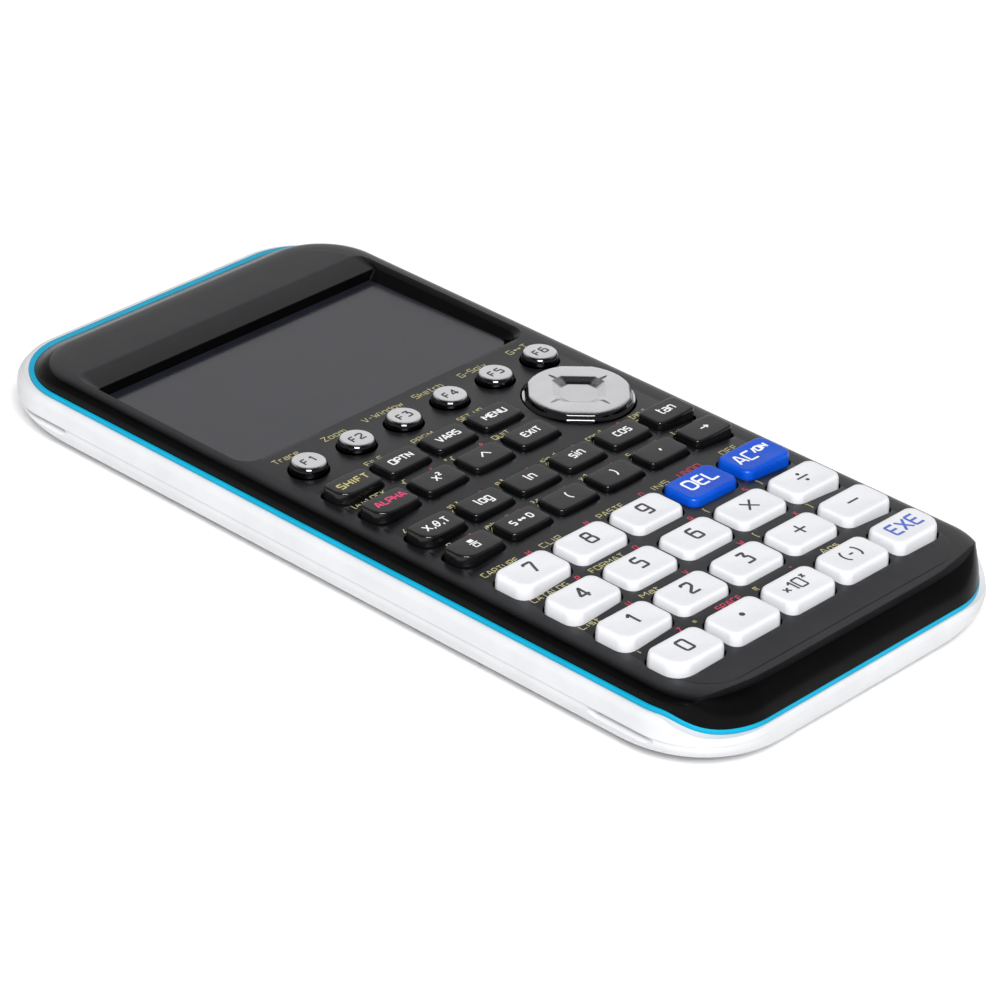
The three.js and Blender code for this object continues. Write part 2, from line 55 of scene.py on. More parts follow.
KEY_BOTTOM, GAP = 13.65, 0.35
BAY_W, BAY_N, BAY_F = 24.2, -23.2, 26.0


# ------------------------------------------------------------------ mesh helpers
def mesh_object(name, verts, faces, scale=MM):
    me = bpy.data.meshes.new(name)
    me.from_pydata([(x * scale, y * scale, z * scale) for x, y, z in verts], [], faces)
    me.validate()
    me.update()
    o = bpy.data.objects.new(name, me)
    bpy.context.scene.collection.objects.link(o)
    return o


def outward(o):
    bm = bmesh.new()
    bm.from_mesh(o.data)
    bmesh.ops.recalc_face_normals(bm, faces=bm.faces[:])
    bm.to_mesh(o.data)
    bm.free()
    o.data.update()


def round_rect(x0, x1, y0, y1, r, seg):
    """Counter-clockwise, radii near-left, near-right, far-right, far-left."""
    rr = list(r) if isinstance(r, (list, tuple)) else [r] * 4
    out = []
    for cx, cy, a0, rad in ((x0 + rr[0], y0 + rr[0], math.pi, rr[0]), (x1 - rr[1], y0 + rr[1], 1.5 * math.pi, rr[1]),
                            (x1 - rr[2], y1 - rr[2], 0.0, rr[2]), (x0 + rr[3], y1 - rr[3], 0.5 * math.pi, rr[3])):
        for i in range(seg + 1):
            a = a0 + math.pi / 2 * i / seg
            out.append((cx + rad * math.cos(a), cy + rad * math.sin(a)))
    return out


def case_outline(ox, of, on, r=SEAM_R, seg=20):
    return round_rect(-SEAM_HALF_WIDTH - ox, SEAM_HALF_WIDTH + ox, SEAM_NEAR_Y - on, SEAM_FAR_Y + of, r, seg)


def at(outline, z):
    return [(p[0], p[1], z) for p in outline]


def loft(name, rings, bottom=True, top=True):
    n = len(rings[0])
    verts = [p for r in rings for p in r]
    faces = []
    for k in range(len(rings) - 1):
        for i in range(n):
            j = (i + 1) % n
            faces.append((k * n + i, k * n + j, (k + 1) * n + j, (k + 1) * n + i))
    if bottom:
        faces.append(tuple(range(n - 1, -1, -1)))
    if top:
        faces.append(tuple((len(rings) - 1) * n + i for i in range(n)))
    return mesh_object(name, verts, faces)


def sideways(name, yz, x0, x1):
    """Solid whose YZ section is the outline, from x0 to x1."""
    n = len(yz)
    verts = [(x0, y, z) for y, z in yz] + [(x1, y, z) for y, z in yz]
    faces = [tuple(range(n)), tuple(range(2 * n - 1, n - 1, -1))]
    faces += [(i, n + i, n + (i + 1) % n, (i + 1) % n) for i in range(n)]
    o = mesh_object(name, verts, faces)
    outward(o)
    return o


def block(name, x0, x1, y0, y1, z0, z1):
    return loft(name, [at([(x0, y0), (x1, y0), (x1, y1), (x0, y1)], z) for z in (z0, z1)])


def merge(name, objs):
    """One object from several disjoint ones."""
    bm = bmesh.new()
    for o in objs:
        bm.from_mesh(o.data)
        me = o.data
        bpy.data.objects.remove(o)
        bpy.data.meshes.remove(me)
    me = bpy.data.meshes.new(name)
    bm.to_mesh(me)
    bm.free()
    o = bpy.data.objects.new(name, me)
    bpy.context.scene.collection.objects.link(o)
    return o


def boolean(o, tool, op="DIFFERENCE"):
    m = o.modifiers.new("cut", "BOOLEAN")
    m.operation, m.object, m.solver = op, tool, "EXACT"
    dg = bpy.context.evaluated_depsgraph_get()
    me = bpy.data.meshes.new_from_object(o.evaluated_get(dg))
    old = o.data
    o.modifiers.clear()
    o.data = me
    bpy.data.meshes.remove(old)
    tm = tool.data
    bpy.data.objects.remove(tool)
    bpy.data.meshes.remove(tm)
    return o


def smooth(o, angle=32.0, weighted=True):
    """Smooth shading with sharp edges over the angle, and large flat faces keeping their normal."""
    me = o.data
    bm = bmesh.new()
    bm.from_mesh(me)
    bmesh.ops.remove_doubles(bm, verts=bm.verts[:], dist=2e-6)
    bmesh.ops.dissolve_degenerate(bm, dist=1e-6, edges=bm.edges[:])
    for f in bm.faces:
        f.smooth = True
    lim = math.radians(angle)
    for e in bm.edges:
        if len(e.link_faces) == 2:
            e.smooth = e.link_faces[0].normal.angle(e.link_faces[1].normal, 0.0) < lim
        else:
            e.smooth = False
    bm.to_mesh(me)
    bm.free()
    me.update()
    if weighted:
        w = o.modifiers.new("weighted", "WEIGHTED_NORMAL")
        w.weight, w.keep_sharp, w.mode = 90, True, "FACE_AREA"
    return o


def put(o, body, slot, *nodes):
    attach(o, body)
    if nodes:
        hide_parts(*nodes)
    return o


def spline(points, n):
    """n points evenly along a smooth monotone-ish curve through points (centripetal Catmull-Rom)."""
    pts = [points[0]] + list(points) + [points[-1]]
    out = []
    per = max(1, n // (len(points) - 1))
    for i in range(1, len(pts) - 2):
        p0, p1, p2, p3 = (Vector(pts[i - 1]), Vector(pts[i]), Vector(pts[i + 1]), Vector(pts[i + 2]))
        for k in range(per):
            t = k / per
            out.append(tuple(0.5 * ((2 * p1) + (p2 - p0) * t + (2 * p0 - 5 * p1 + 4 * p2 - p3) * t * t + (3 * p1 - p0 - 3 * p2 + p3) * t ** 3)))
    out.append(tuple(points[-1]))
    return out


# ------------------------------------------------------------------ materials
def ramp(nt, stops, src, interp="LINEAR"):
    r = nt.nodes.new("ShaderNodeValToRGB")
    r.color_ramp.interpolation = interp
    els = r.color_ramp.elements
    while len(els) < len(stops):
        els.new(0.5)
    for e, (p, c) in zip(els, stops):
        e.position = p
        e.color = c if len(c) == 4 else (*c, 1.0)
    nt.links.new(src, r.inputs["Fac"])
    return r.outputs["Color"]


def noise(nt, scale, detail=3.0, rough=0.5, vec=None):
    n = nt.nodes.new("ShaderNodeTexNoise")
    n.inputs["Scale"].default_value = scale
    n.inputs["Detail"].default_value = detail
    n.inputs["Roughness"].default_value = rough
    if vec is not None:
        nt.links.new(vec, n.inputs["Vector"])
    return n.outputs["Fac"]


def plastic(name, lo, hi, rough=(0.3, 0.4), grain=0.0, grain_scale=4000.0, blotch=120.0, specular=0.5, coat=0.0, coat_rough=0.1, metallic=0.0, ior=1.5, sss=0.0):
    """Moulded plastic or metal: blotchy colour between lo and hi, roughness that varies, and a fine grain bump."""
    m = bpy.data.materials.new(name)
    m.use_nodes = True
    nt = m.node_tree
    b = nt.nodes["Principled BSDF"]
    tc = nt.nodes.new("ShaderNodeTexCoord").outputs["Object"]
    n1 = noise(nt, blotch, 4.0, 0.55, tc)
    nt.links.new(ramp(nt, [(0.35, lo), (0.65, hi)], n1), b.inputs["Base Color"])
    n2 = noise(nt, blotch * 6.0, 3.0, 0.6, tc)
    mr = nt.nodes.new("ShaderNodeMapRange")
    mr.inputs["From Min"].default_value, mr.inputs["From Max"].default_value = 0.3, 0.7
    mr.inputs["To Min"].default_value, mr.inputs["To Max"].default_value = rough
    nt.links.new(n2, mr.inputs["Value"])
    nt.links.new(mr.outputs["Result"], b.inputs["Roughness"])
    b.inputs["Metallic"].default_value = metallic
    b.inputs["Specular IOR Level"].default_value = specular
    b.inputs["IOR"].default_value = ior
    b.inputs["Coat Weight"].default_value = coat
    b.inputs["Coat Roughness"].default_value = coat_rough
    if sss:
        b.inputs["Subsurface Weight"].default_value = sss
        b.inputs["Subsurface Radius"].default_value = (0.0012, 0.0011, 0.001)
        b.inputs["Subsurface Scale"].default_value = 1.0
    if grain:
        g = noise(nt, grain_scale, 2.0, 0.6, tc)
        bump = nt.nodes.new("ShaderNodeBump")
        bump.inputs["Strength"].default_value = grain
        bump.inputs["Distance"].default_value = 0.00003
        nt.links.new(g, bump.inputs["Height"])
        nt.links.new(bump.outputs["Normal"], b.inputs["Normal"])
    return m


def mask_z(nt, tc, z0, z1):
    """0 under z0, 1 over z1, in object height (metres)."""
    s = nt.nodes.new("ShaderNodeSeparateXYZ")
    nt.links.new(tc, s.inputs["Vector"])
    mr = nt.nodes.new("ShaderNodeMapRange")
    mr.interpolation_type = "SMOOTHSTEP"
    mr.inputs["From Min"].default_value, mr.inputs["From Max"].default_value = z0, z1
    nt.links.new(s.outputs["Z"], mr.inputs["Value"])
    return mr.outputs["Result"]


def two_zone(name, low, high, z0, z1, rough_low, rough_high, grain=0.3, grain_scale=3500.0, specular=0.5, metallic=0.0, ior=1.5):
    """One moulding with a polished lower zone and a fine textured upper zone."""
    m = bpy.data.materials.new(name)
    m.use_nodes = True
    nt = m.node_tree
    b = nt.nodes["Principled BSDF"]
    tc = nt.nodes.new("ShaderNodeTexCoord").outputs["Object"]
    k = mask_z(nt, tc, z0 * MM, z1 * MM)
    blot = noise(nt, 150.0, 4.0, 0.55, tc)
    a = ramp(nt, [(0.35, low[0]), (0.65, low[1])], blot)
    c = ramp(nt, [(0.35, high[0]), (0.65, high[1])], blot)
    mix = nt.nodes.new("ShaderNodeMix")
    mix.data_type = "RGBA"
    nt.links.new(k, mix.inputs["Factor"])
    nt.links.new(a, mix.inputs[6])
    nt.links.new(c, mix.inputs[7])
    nt.links.new(mix.outputs[2], b.inputs["Base Color"])
    rough = noise(nt, 900.0, 3.0, 0.6, tc)
    vary = nt.nodes.new("ShaderNodeMath")
    vary.operation = "MULTIPLY_ADD"
    vary.inputs[1].default_value, vary.inputs[2].default_value = 0.08, -0.04
    nt.links.new(rough, vary.inputs[0])
    mr = nt.nodes.new("ShaderNodeMapRange")
    mr.inputs["To Min"].default_value, mr.inputs["To Max"].default_value = rough_low, rough_high
    nt.links.new(k, mr.inputs["Value"])
    add = nt.nodes.new("ShaderNodeMath")
    add.operation = "ADD"
    nt.links.new(mr.outputs["Result"], add.inputs[0])
    nt.links.new(vary.outputs["Value"], add.inputs[1])
    nt.links.new(add.outputs["Value"], b.inputs["Roughness"])
    b.inputs["Specular IOR Level"].default_value = specular
    b.inputs["Metallic"].default_value = metallic
    b.inputs["IOR"].default_value = ior
    g = noise(nt, grain_scale, 2.0, 0.6, tc)
    bump = nt.nodes.new("ShaderNodeBump")
    bump.inputs["Distance"].default_value = 0.00003
    st = nt.nodes.new("ShaderNodeMath")
    st.operation = "MULTIPLY"
    st.inputs[1].default_value = grain
    nt.links.new(k, st.inputs[0])
    nt.links.new(st.outputs["Value"], bump.inputs["Strength"])
    nt.links.new(g, bump.inputs["Height"])
    nt.links.new(bump.outputs["Normal"], b.inputs["Normal"])
    return m


MAT = {
    # black_case: the lower zone on the rolled shoulder has a darker colour than the face, which is painted shade; its
    # smoother finish is real
    "black_case": two_zone("black_case", ((0.0012, 0.0012, 0.0014), (0.002, 0.002, 0.0022)), ((0.0055, 0.0057, 0.0070), (0.0080, 0.0082, 0.0098)), 15.0, 15.76, 0.20, 0.30, 0.5, specular=0.37),
    # near-black chrome for the outer sides of plated keys: painted shade standing in for a dark reflection
    "chrome_painted_dark_sides": plastic("chrome_painted_dark_sides", (0.042, 0.042, 0.044), (0.055, 0.055, 0.058), (0.06, 0.10), 0.0, metallic=1.0),
    # very dark black with little specular, so the rim under the shoulder stays black: painted shade
    "black_edge_painted_shade": plastic("black_edge_painted_shade", (0.0012, 0.0012, 0.0013), (0.0018, 0.0018, 0.002), (0.22, 0.28), 0.0, specular=0.08),
    "accent_band": plastic("accent_band", (0.002, 0.31, 0.49), (0.004, 0.34, 0.53), (0.34, 0.42), 0.1, specular=0.1),
    "white_case": plastic("white_case", (0.585, 0.59, 0.605), (0.62, 0.625, 0.64), (0.30, 0.42), 0.2, 3000.0, specular=0.4),
    "screen_window": plastic("screen_window", (0.011, 0.0115, 0.017), (0.014, 0.0145, 0.021), (0.16, 0.22), 0.06, 2500.0, ior=1.5, coat=0.15, coat_rough=0.12),
    "display_glass": plastic("display_glass", (0.05, 0.055, 0.06), (0.06, 0.065, 0.07), (0.15, 0.25), 0.0),
    "membrane_rubber": plastic("membrane_rubber", (0.28, 0.29, 0.30), (0.32, 0.33, 0.34), (0.65, 0.8), 0.4, 2500.0),
    "contact_film": plastic("contact_film", (0.42, 0.24, 0.05), (0.48, 0.30, 0.07), (0.25, 0.4), 0.1),
    "board": plastic("board", (0.012, 0.10, 0.04), (0.018, 0.14, 0.06), (0.35, 0.5), 0.5, 1500.0),
    "cell": plastic("cell", (0.05, 0.07, 0.10), (0.07, 0.09, 0.12), (0.22, 0.34), 0.1, metallic=0.6),
    "white_key": plastic("white_key", (0.715, 0.72, 0.75), (0.75, 0.755, 0.78), (0.28, 0.38), 0.25, 3500.0, specular=0.45, sss=0.15),
    "blue_key": plastic("blue_key", (0.0004, 0.06, 0.50), (0.0008, 0.078, 0.56), (0.26, 0.36), 0.2, 3500.0, specular=0.28),
    "black_key": two_zone("black_key", ((0.003, 0.003, 0.0035), (0.005, 0.005, 0.0055)), ((0.012, 0.012, 0.013), (0.016, 0.016, 0.017)), 18.05, 18.2, 0.16, 0.32, 0.5, specular=0.42),
    "chrome_key": two_zone("chrome_key", ((0.74, 0.74, 0.76), (0.78, 0.78, 0.80)), ((0.80, 0.80, 0.82), (0.86, 0.86, 0.88)), 17.8, 17.98, 0.06, 0.22, 0.9, 2600.0, metallic=1.0),
    "ink_white": plastic("ink_white", (0.84, 0.84, 0.85), (0.90, 0.90, 0.90), (0.4, 0.5), 0.2),
    "ink_dark": plastic("ink_dark", (0.035, 0.035, 0.04), (0.05, 0.05, 0.055), (0.4, 0.5), 0.2),
    "ink_engraved": plastic("ink_engraved", (0.02, 0.02, 0.024), (0.035, 0.035, 0.04), (0.25, 0.35), 0.2),
    "ink_blue": plastic("ink_blue", (0.07, 0.12, 0.46), (0.08, 0.14, 0.52), (0.4, 0.5), 0.2),
    "ink_yellow": plastic("ink_yellow", (0.50, 0.44, 0.17), (0.57, 0.50, 0.20), (0.45, 0.55), 0.2),
    "ink_yellow_dim": plastic("ink_yellow_dim", (0.47, 0.43, 0.20), (0.54, 0.49, 0.24), (0.45, 0.55), 0.2),
    "ink_pink": plastic("ink_pink", (0.68, 0.045, 0.15), (0.76, 0.06, 0.18), (0.45, 0.55), 0.2),
    "ink_red_dim": plastic("ink_red_dim", (0.58, 0.035, 0.09), (0.66, 0.05, 0.11), (0.45, 0.55), 0.2),
}


def paint(o, name):
    o.data.materials.clear()
    o.data.materials.append(MAT[name])
    for p in o.data.polygons:
        p.material_index = 0


# ------------------------------------------------------------------ seam
SEAM = [(120.0, 0.0), (-82.0, 0.0), (-83.3, -0.25), (-84.4, -0.72), (-86.6, -1.65), (-88.2, -2.3), (-90.2, -2.82), (-92.3, -3.01), (-94.5, -3.05), (-120.0, -3.05)]


def seam_dz(y):
    """Smooth dip of the seam towards the near end."""
    for (ya, a), (yb, b) in zip(SEAM, SEAM[1:]):
        if yb <= y <= ya:
            return a + (b - a) * (ya - y) / (ya - yb)
    return -3.05


_fine = [120.0, 60.0, 0.0, -60.0, -80.0] + [-81.0 - 0.35 * i for i in range(45)] + [-97.0, -120.0]


def seam_soft(y):
    return sum(seam_dz(y + d) for d in (-0.9, -0.6, -0.3, 0.0, 0.3, 0.6, 0.9)) / 7.0


SEAM_LINE = [(y, SEAM_Z + seam_soft(y)) for y in _fine]


def seam_z(y):
    return SEAM_Z + seam_soft(y)


def above_seam(name, dz):
    return sideways(name, [(y, z + dz) for y, z in SEAM_LINE] + [(-120.0, 40.0), (120.0, 40.0)], -60.0, 60.0)


def below_seam(name, dz):
    return sideways(name, [(y, z + dz) for y, z in SEAM_LINE] + [(-120.0, -20.0), (120.0, -20.0)], -60.0, 60.0)


# ------------------------------------------------------------------ key list
COLS5 = [c * NUM_X for c in (-2, -1, 0, 1, 2)]
COLS6 = [c * FUN_X for c in (-2.5, -1.5, -0.5, 0.5, 1.5, 2.5)]
KEYS = [dict(name=f"key_f{i + 1}", kind="round", x=x, y=ROW_F) for i, x in enumerate(COLS6)]
for y, names in ((ROW_SHIFT, ["key_shift", "key_options", "key_variables", "key_menu"]), (ROW_ALPHA, ["key_alpha", "key_square", "key_power", "key_exit"]),
                 (ROW_TRIG, ["key_x_theta_t", "key_log", "key_ln", "key_sin", "key_cos", "key_tan"]),
                 (ROW_BRACKET, ["key_fraction", "key_convert", "key_open_bracket", "key_close_bracket", "key_comma", "key_store"])):
    for i, name in enumerate(names):
        KEYS.append(dict(name=name, kind="function", x=COLS6[i], y=y, r=[3.0 if i == 0 else FUN_R, FUN_R, FUN_R, FUN_R]))
for row, names in enumerate((["key_7", "key_8", "key_9", "key_delete", "key_all_clear"], ["key_4", "key_5", "key_6", "key_multiply", "key_divide"],
                             ["key_1", "key_2", "key_3", "key_plus", "key_minus"], ["key_0", "key_point", "key_exponent", "key_negative", "key_execute"])):
    for i, name in enumerate(names):
        r = [NUM_R] * 4
        if i == 0:
            r[0] = 3.6 if row == 3 else 2.6
        if i == 4 and row == 3:
            r[1] = 3.6
        KEYS.append(dict(name=name, kind="number", x=COLS5[i], y=NUM_ROW - row * NUM_Y, r=r, blue=row == 0 and i > 2))


def circle(r, n):
    return [(r * math.cos((i + 0.5) * 2 * math.pi / n), r * math.sin((i + 0.5) * 2 * math.pi / n)) for i in range(n)]


def key_outline(k, grow, seg=8):
    if k["kind"] == "round":
        return circle(F_R + grow, 40)
    w, d = (NUM_W, NUM_D) if k["kind"] == "number" else (FUN_W, FUN_D)
    return round_rect(-w / 2 - grow, w / 2 + grow, -d / 2 - grow, d / 2 + grow, [max(v + grow, 0.2) for v in k["r"]], seg)


# ------------------------------------------------------------------ front cover
def tray_floor(y, dz=0.0):
    return FLOOR_NEAR + (FLOOR_FAR - FLOOR_NEAR) * (y - 28.5) / (SCR_STEP - 28.5) + dz


def slab(name, x0, x1, y0, y1, lo, hi):
    return sideways(name, [(y0, tray_floor(y0, lo)), (y1, tray_floor(y1, lo)), (y1, hi), (y0, hi)], x0, x1)


CROWN, CROWN_X = 1.3, 36.9


def ease(t):
    c = min(max(t, 0.0), 1.0)
    return c * c * (3.0 - 2.0 * c)


def crown(x, y):
    """Swell of the keypad face above FACE_Z."""
    return CROWN * max(0.0, 1.0 - (abs(x) / CROWN_X) ** 4) * ease((26.0 - y) / 24.0) * ease((y + 89.0) / 20.0)


def on_face(outline, dz):
    return [(x, y, FACE_Z + crown(x, y) + dz) for x, y in outline]


def under_face():
    """Everything under the face, with its swell."""
    xs = [-60.0] + [-CROWN_X + 2 * CROWN_X * i / 50 for i in range(51)] + [60.0]
    ys = [120.0] + [26.0 - 115.0 * i / 76 for i in range(77)] + [-120.0]
    rings = [[(x, -120.0, 2.0), (x, 120.0, 2.0)] + [(x, y, FACE_Z + crown(x, y)) for y in ys] for x in xs]
    n = len(rings[0])
    verts = [p for q in rings for p in q]
    faces = [(k * n + i, (k + 1) * n + i, (k + 1) * n + (i + 1) % n, k * n + (i + 1) % n) for k in range(len(rings) - 1) for i in range(n)]
    faces += [tuple(range(n)), tuple((len(rings) - 1) * n + i for i in range(n - 1, -1, -1))]
    o = mesh_object("under_face", verts, faces)
    outward(o)
    return o


def near_outline_y(x):
    over = abs(x) - (SEAM_HALF_WIDTH - SEAM_R)
    return SEAM_NEAR_Y if over <= 0 else SEAM_NEAR_Y + SEAM_R - math.sqrt(max(SEAM_R ** 2 - over ** 2, 0.0))


def crease_y(x):
    return CREASE_Y + (4.1 * ((abs(x) - 16) / 25.5) ** 3 if abs(x) > 16 else 0.0)


def build_front():
    ring = [(0.4, 1.35, 8.0), (0.4, 1.35, 12.3), (0.41, 1.7, 12.8), (0.48, 3.1, 13.6), (0.8, 4.7, 14.5), (1.5, 5.9, 15.15), (2.7, 7.0, 15.55), (4.2, 8.2, 15.725), (5.2, 9.0, 15.775), (6.2, 9.8, FACE_Z)]
    curve = [ring[0]] + spline(ring[1:], 42)
    curve = [(min(max(d, 0.0), 6.2), max(df, 0.0), min(z, FACE_Z - 0.001)) for d, df, z in curve] + [(7.2, 10.6, 16.3), (9.5, 12.5, 17.4)]
    front = loft("front_cover_skin", [at(case_outline(-d, -df, 0.4 - max(d, 0.4), SEAM_R - (d + df) / 2.4, 24), z) for d, df, z in curve])
    boolean(front, under_face(), "INTERSECT")
    # near-end chamfer with a crisp, slightly softened crease
    prof = spline([(0.0, 0.0), (0.34, 0.13), (0.64, 0.34), (0.87, 0.64), (1.0, 1.0)], 20)
    xs = [-46.0, -41.8] + [-41.4 + 82.8 * i / 72 for i in range(73)] + [41.8, 46.0]
    n = None
    rings = []
    for xx in xs:
        x = max(-41.8, min(41.8, xx))
        y0 = crease_y(x)
        y1 = min(near_outline_y(x), y0 - 0.05)
        z1 = min(seam_z(y1) + BAND_HALF, FACE_Z - 0.3)
        pts = [(xx, y0 + (y1 - y0) * s, FACE_Z + (z1 - FACE_Z) * t) for s, t in prof]
        # rounding of the crease
        soft = [(xx, y0 + 0.22, FACE_Z + 0.02), (xx, y0 + 0.08, FACE_Z - 0.005), (xx, y0 - 0.07, FACE_Z - 0.03)]
        pts = soft + [p for p in pts[1:]] if abs(y1 - y0) > 0.5 else [(xx, y0 + 0.22 - 0.001 * i, FACE_Z + 0.02 - 0.001 * i) for i in range(3)] + pts[1:]
        rings.append([(xx, -110.0, 20.0), (xx, -110.0, 6.0), (xx, y1 - 1.2, 6.0)] + pts[::-1] + [(xx, y0 + 0.22, 20.0)])
        n = len(rings[-1])
    verts = [p for r in rings for p in r]
    faces = []
    for k in range(len(rings) - 1):
        for i in range(n):
            j = (i + 1) % n
            faces.append((k * n + i, (k + 1) * n + i, (k + 1) * n + j, k * n + j))
    faces.append(tuple(range(n)))
    faces.append(tuple((len(rings) - 1) * n + i for i in range(n - 1, -1, -1)))
    cutter = mesh_object("chamfer_cut", verts, faces)
    outward(cutter)
    boolean(front, cutter)
    boolean(front, above_seam("seam_cut", BAND_HALF + 0.05), "INTERSECT")
    boolean(front, loft("hollow_a", [at(round_rect(-SEAM_HALF_WIDTH + WALL + 0.6, SEAM_HALF_WIDTH - WALL - 0.6, -86.0, SEAM_FAR_Y - 6.0, 10, 8), z) for z in (5.0, FACE_UNDER_Z)]))
    boolean(front, loft("hollow_b", [at(round_rect(-SEAM_HALF_WIDTH + WALL + 0.6, SEAM_HALF_WIDTH - WALL - 0.6, -91.2, 0.0, (13.5, 13.5, 1, 1), 8), z) for z in (5.0, 11.2)]))
    boolean(front, slab("tray", -41.2, 41.2, 23.8, 76.2, -2.1, 15.0), "UNION")
    # screen recess, with softened rims
    w, s0, e, r = SCR_W, SCR_N, SCR_RUN, SCR_R
    k = SCR_DROP / (FACE_Z - FLOOR_NEAR)
    seg = 10

    def rim(g, far, rr, sq=2.4):
        return round_rect(-w - g, w + g, s0 - g, far, (rr, rr, sq, sq), seg)
    foot = round_rect(-w + e, w - e, s0 + e, SCR_STEP, (r - 1, r - 1, 0.8, 0.8), seg)
    rings = [[(p[0], p[1], tray_floor(p[1])) for p in foot],
             at(round_rect(-w + e * k, w - e * k, s0 + e * k, SCR_STEP, (r, r, 0.8, 0.8), seg), FACE_Z - SCR_DROP - 0.12),
             at(round_rect(-w + e * k * 0.95, w - e * k * 0.95, s0 + e * k * 0.95, SCR_STEP + 0.06, (r, r, 0.9, 0.9), seg), FACE_Z - SCR_DROP - 0.03),
             at(round_rect(-w + e * k * 0.9, w - e * k * 0.9, s0 + e * k * 0.9, SCR_STEP + 0.25, (r, r, 1.0, 1.0), seg), FACE_Z - SCR_DROP + 0.04),
             at(rim(-0.06, SCR_F - 0.35, r), FACE_Z - 0.08), at(rim(0.03, SCR_F, r), FACE_Z - 0.02), at(rim(0.16, SCR_F + 0.4, r), FACE_Z + 0.004), at(rim(0.9, SCR_F + 5.4, r), FACE_Z + 1.0)]
    boolean(front, loft("recess", rings))
    boolean(front, slab("seat", -w + e + 0.15, w - e - 0.15, s0 + e + 0.15, SCR_STEP - 0.15, -GLASS - 0.2, 15.0))
    boolean(front, block("opening", -34.6, 34.6, 30.2, 66.2, 5.0, 15.0))
    cuts = []
    for kk in KEYS:
        base = [(p[0] + kk["x"], p[1] + kk["y"]) for p in key_outline(kk, GAP, 6)]
        lip1 = [(p[0] + kk["x"], p[1] + kk["y"]) for p in key_outline(kk, GAP + 0.04, 6)]
        lip2 = [(p[0] + kk["x"], p[1] + kk["y"]) for p in key_outline(kk, GAP + 0.16, 6)]
        lip3 = [(p[0] + kk["x"], p[1] + kk["y"]) for p in key_outline(kk, GAP + 0.3, 6)]
        cuts.append(loft("hole", [at(base, 12.0), on_face(base, -0.16), on_face(lip1, -0.05), on_face(lip2, 0.006), on_face(lip3, 0.5)]))
    def ringp(g):
        return [(p[0] + PAD_X, p[1] + PAD_Y) for p in circle(PAD_R + g, 96)]
    cuts.append(loft("hole", [at(ringp(GAP), 12.0), on_face(ringp(GAP), -0.16), on_face(ringp(GAP + 0.04), -0.05), on_face(ringp(GAP + 0.16), 0.006), on_face(ringp(GAP + 0.3), 0.5)]))
    boolean(front, merge("holes", cuts))
    smooth(front, 28.0)
    paint(front, "black_case")
    # the edge under the rolled rim, darker and less shiny than the face: painted shade
    front.data.materials.append(MAT["black_edge_painted_shade"])
    for q in front.data.polygons:
        if q.normal.z < 0.92 and q.center.z < 15.25 * MM:
            q.material_index = 1
    return put(front, "case", "black_case", "front_cover")


# ------------------------------------------------------------------ accent band
def build_band():
    outline = case_outline(0.0, 0.0, 0.0, SEAM_R, 24)
    # more points along the straight sides near the dip
    pts = []
    for i, p in enumerate(outline):
        q = outline[(i + 1) % len(outline)]
        pts.append(p)
        gap = math.dist(p, q)
        if gap > 3.0:
            n = int(gap / 1.0)
            for k in range(1, n):
                pts.append((p[0] + (q[0] - p[0]) * k / n, p[1] + (q[1] - p[1]) * k / n))
    m = len(pts)
    h = BAND_HALF
    section = [(-1.45, -h), (-0.06, -h), (0.03, -h + 0.04), (0.08, -h + 0.14), (0.10, 0.0), (0.08, h - 0.14), (0.03, h - 0.04), (-0.06, h), (-1.45, h)]
    verts, faces = [], []
    for i, (x, y) in enumerate(pts):
        a, b = pts[i - 1], pts[(i + 1) % m]
        t = Vector((b[0] - a[0], b[1] - a[1])).normalized()
        nx, ny = t.y, -t.x
        z = seam_z(y)
        for o, dz in section:
            verts.append((x + nx * o, y + ny * o, z + dz))
    k = len(section)
    for i in range(m):
        j = (i + 1) % m
        for s in range(k):
            u = (s + 1) % k
            faces.append((i * k + s, j * k + s, j * k + u, i * k + u))
    band = mesh_object("accent_band_skin", verts, faces)
    outward(band)
    smooth(band, 40.0, weighted=False)
    paint(band, "accent_band")
    return put(band, "case", "accent_band", "accent_band")


# ------------------------------------------------------------------ rear cover
REAR = [
    (0.0, -6.9, -6.0, -6.6, 20.5), (0.35, -4.8, -3.6, -4.6, 22.0), (1.1, -3.0, -1.7, -2.7, 22.6), (2.2, -1.25, -0.2, -1.15, 21.2),
    (3.6, 0.15, 0.8, 0.0, 18.4), (5.4, 0.95, 1.4, 0.5, 16.2), (6.9, 1.1, 1.55, 0.6, 15.7)]
REAR_UP = [(7.3, 1.36, 1.8, 0.6, 15.6), (9.2, 1.36, 1.8, 0.2, 15.6), (10.4, 1.3, 1.8, 0.1, 15.6), (11.1, 1.0, 1.74, 0.1, 15.75), (11.45, 0.66, 1.68, 0.1, 15.8), (11.65, 0.32, 1.62, 0.1, 15.9)]
REAR_LIP = [(11.9, 0.22, 1.54, 0.1, 16.0), (12.1, 0.1, 1.4, 0.1, 16.0), (12.24, 0.0, 1.2, 0.1, 16.0), (12.32, -0.1, 0.95, 0.1, 16.0), (LIP_TOP, -0.25, 0.7, 0.1, 16.0), (12.36, -0.5, 0.1, 0.1, 16.0)]


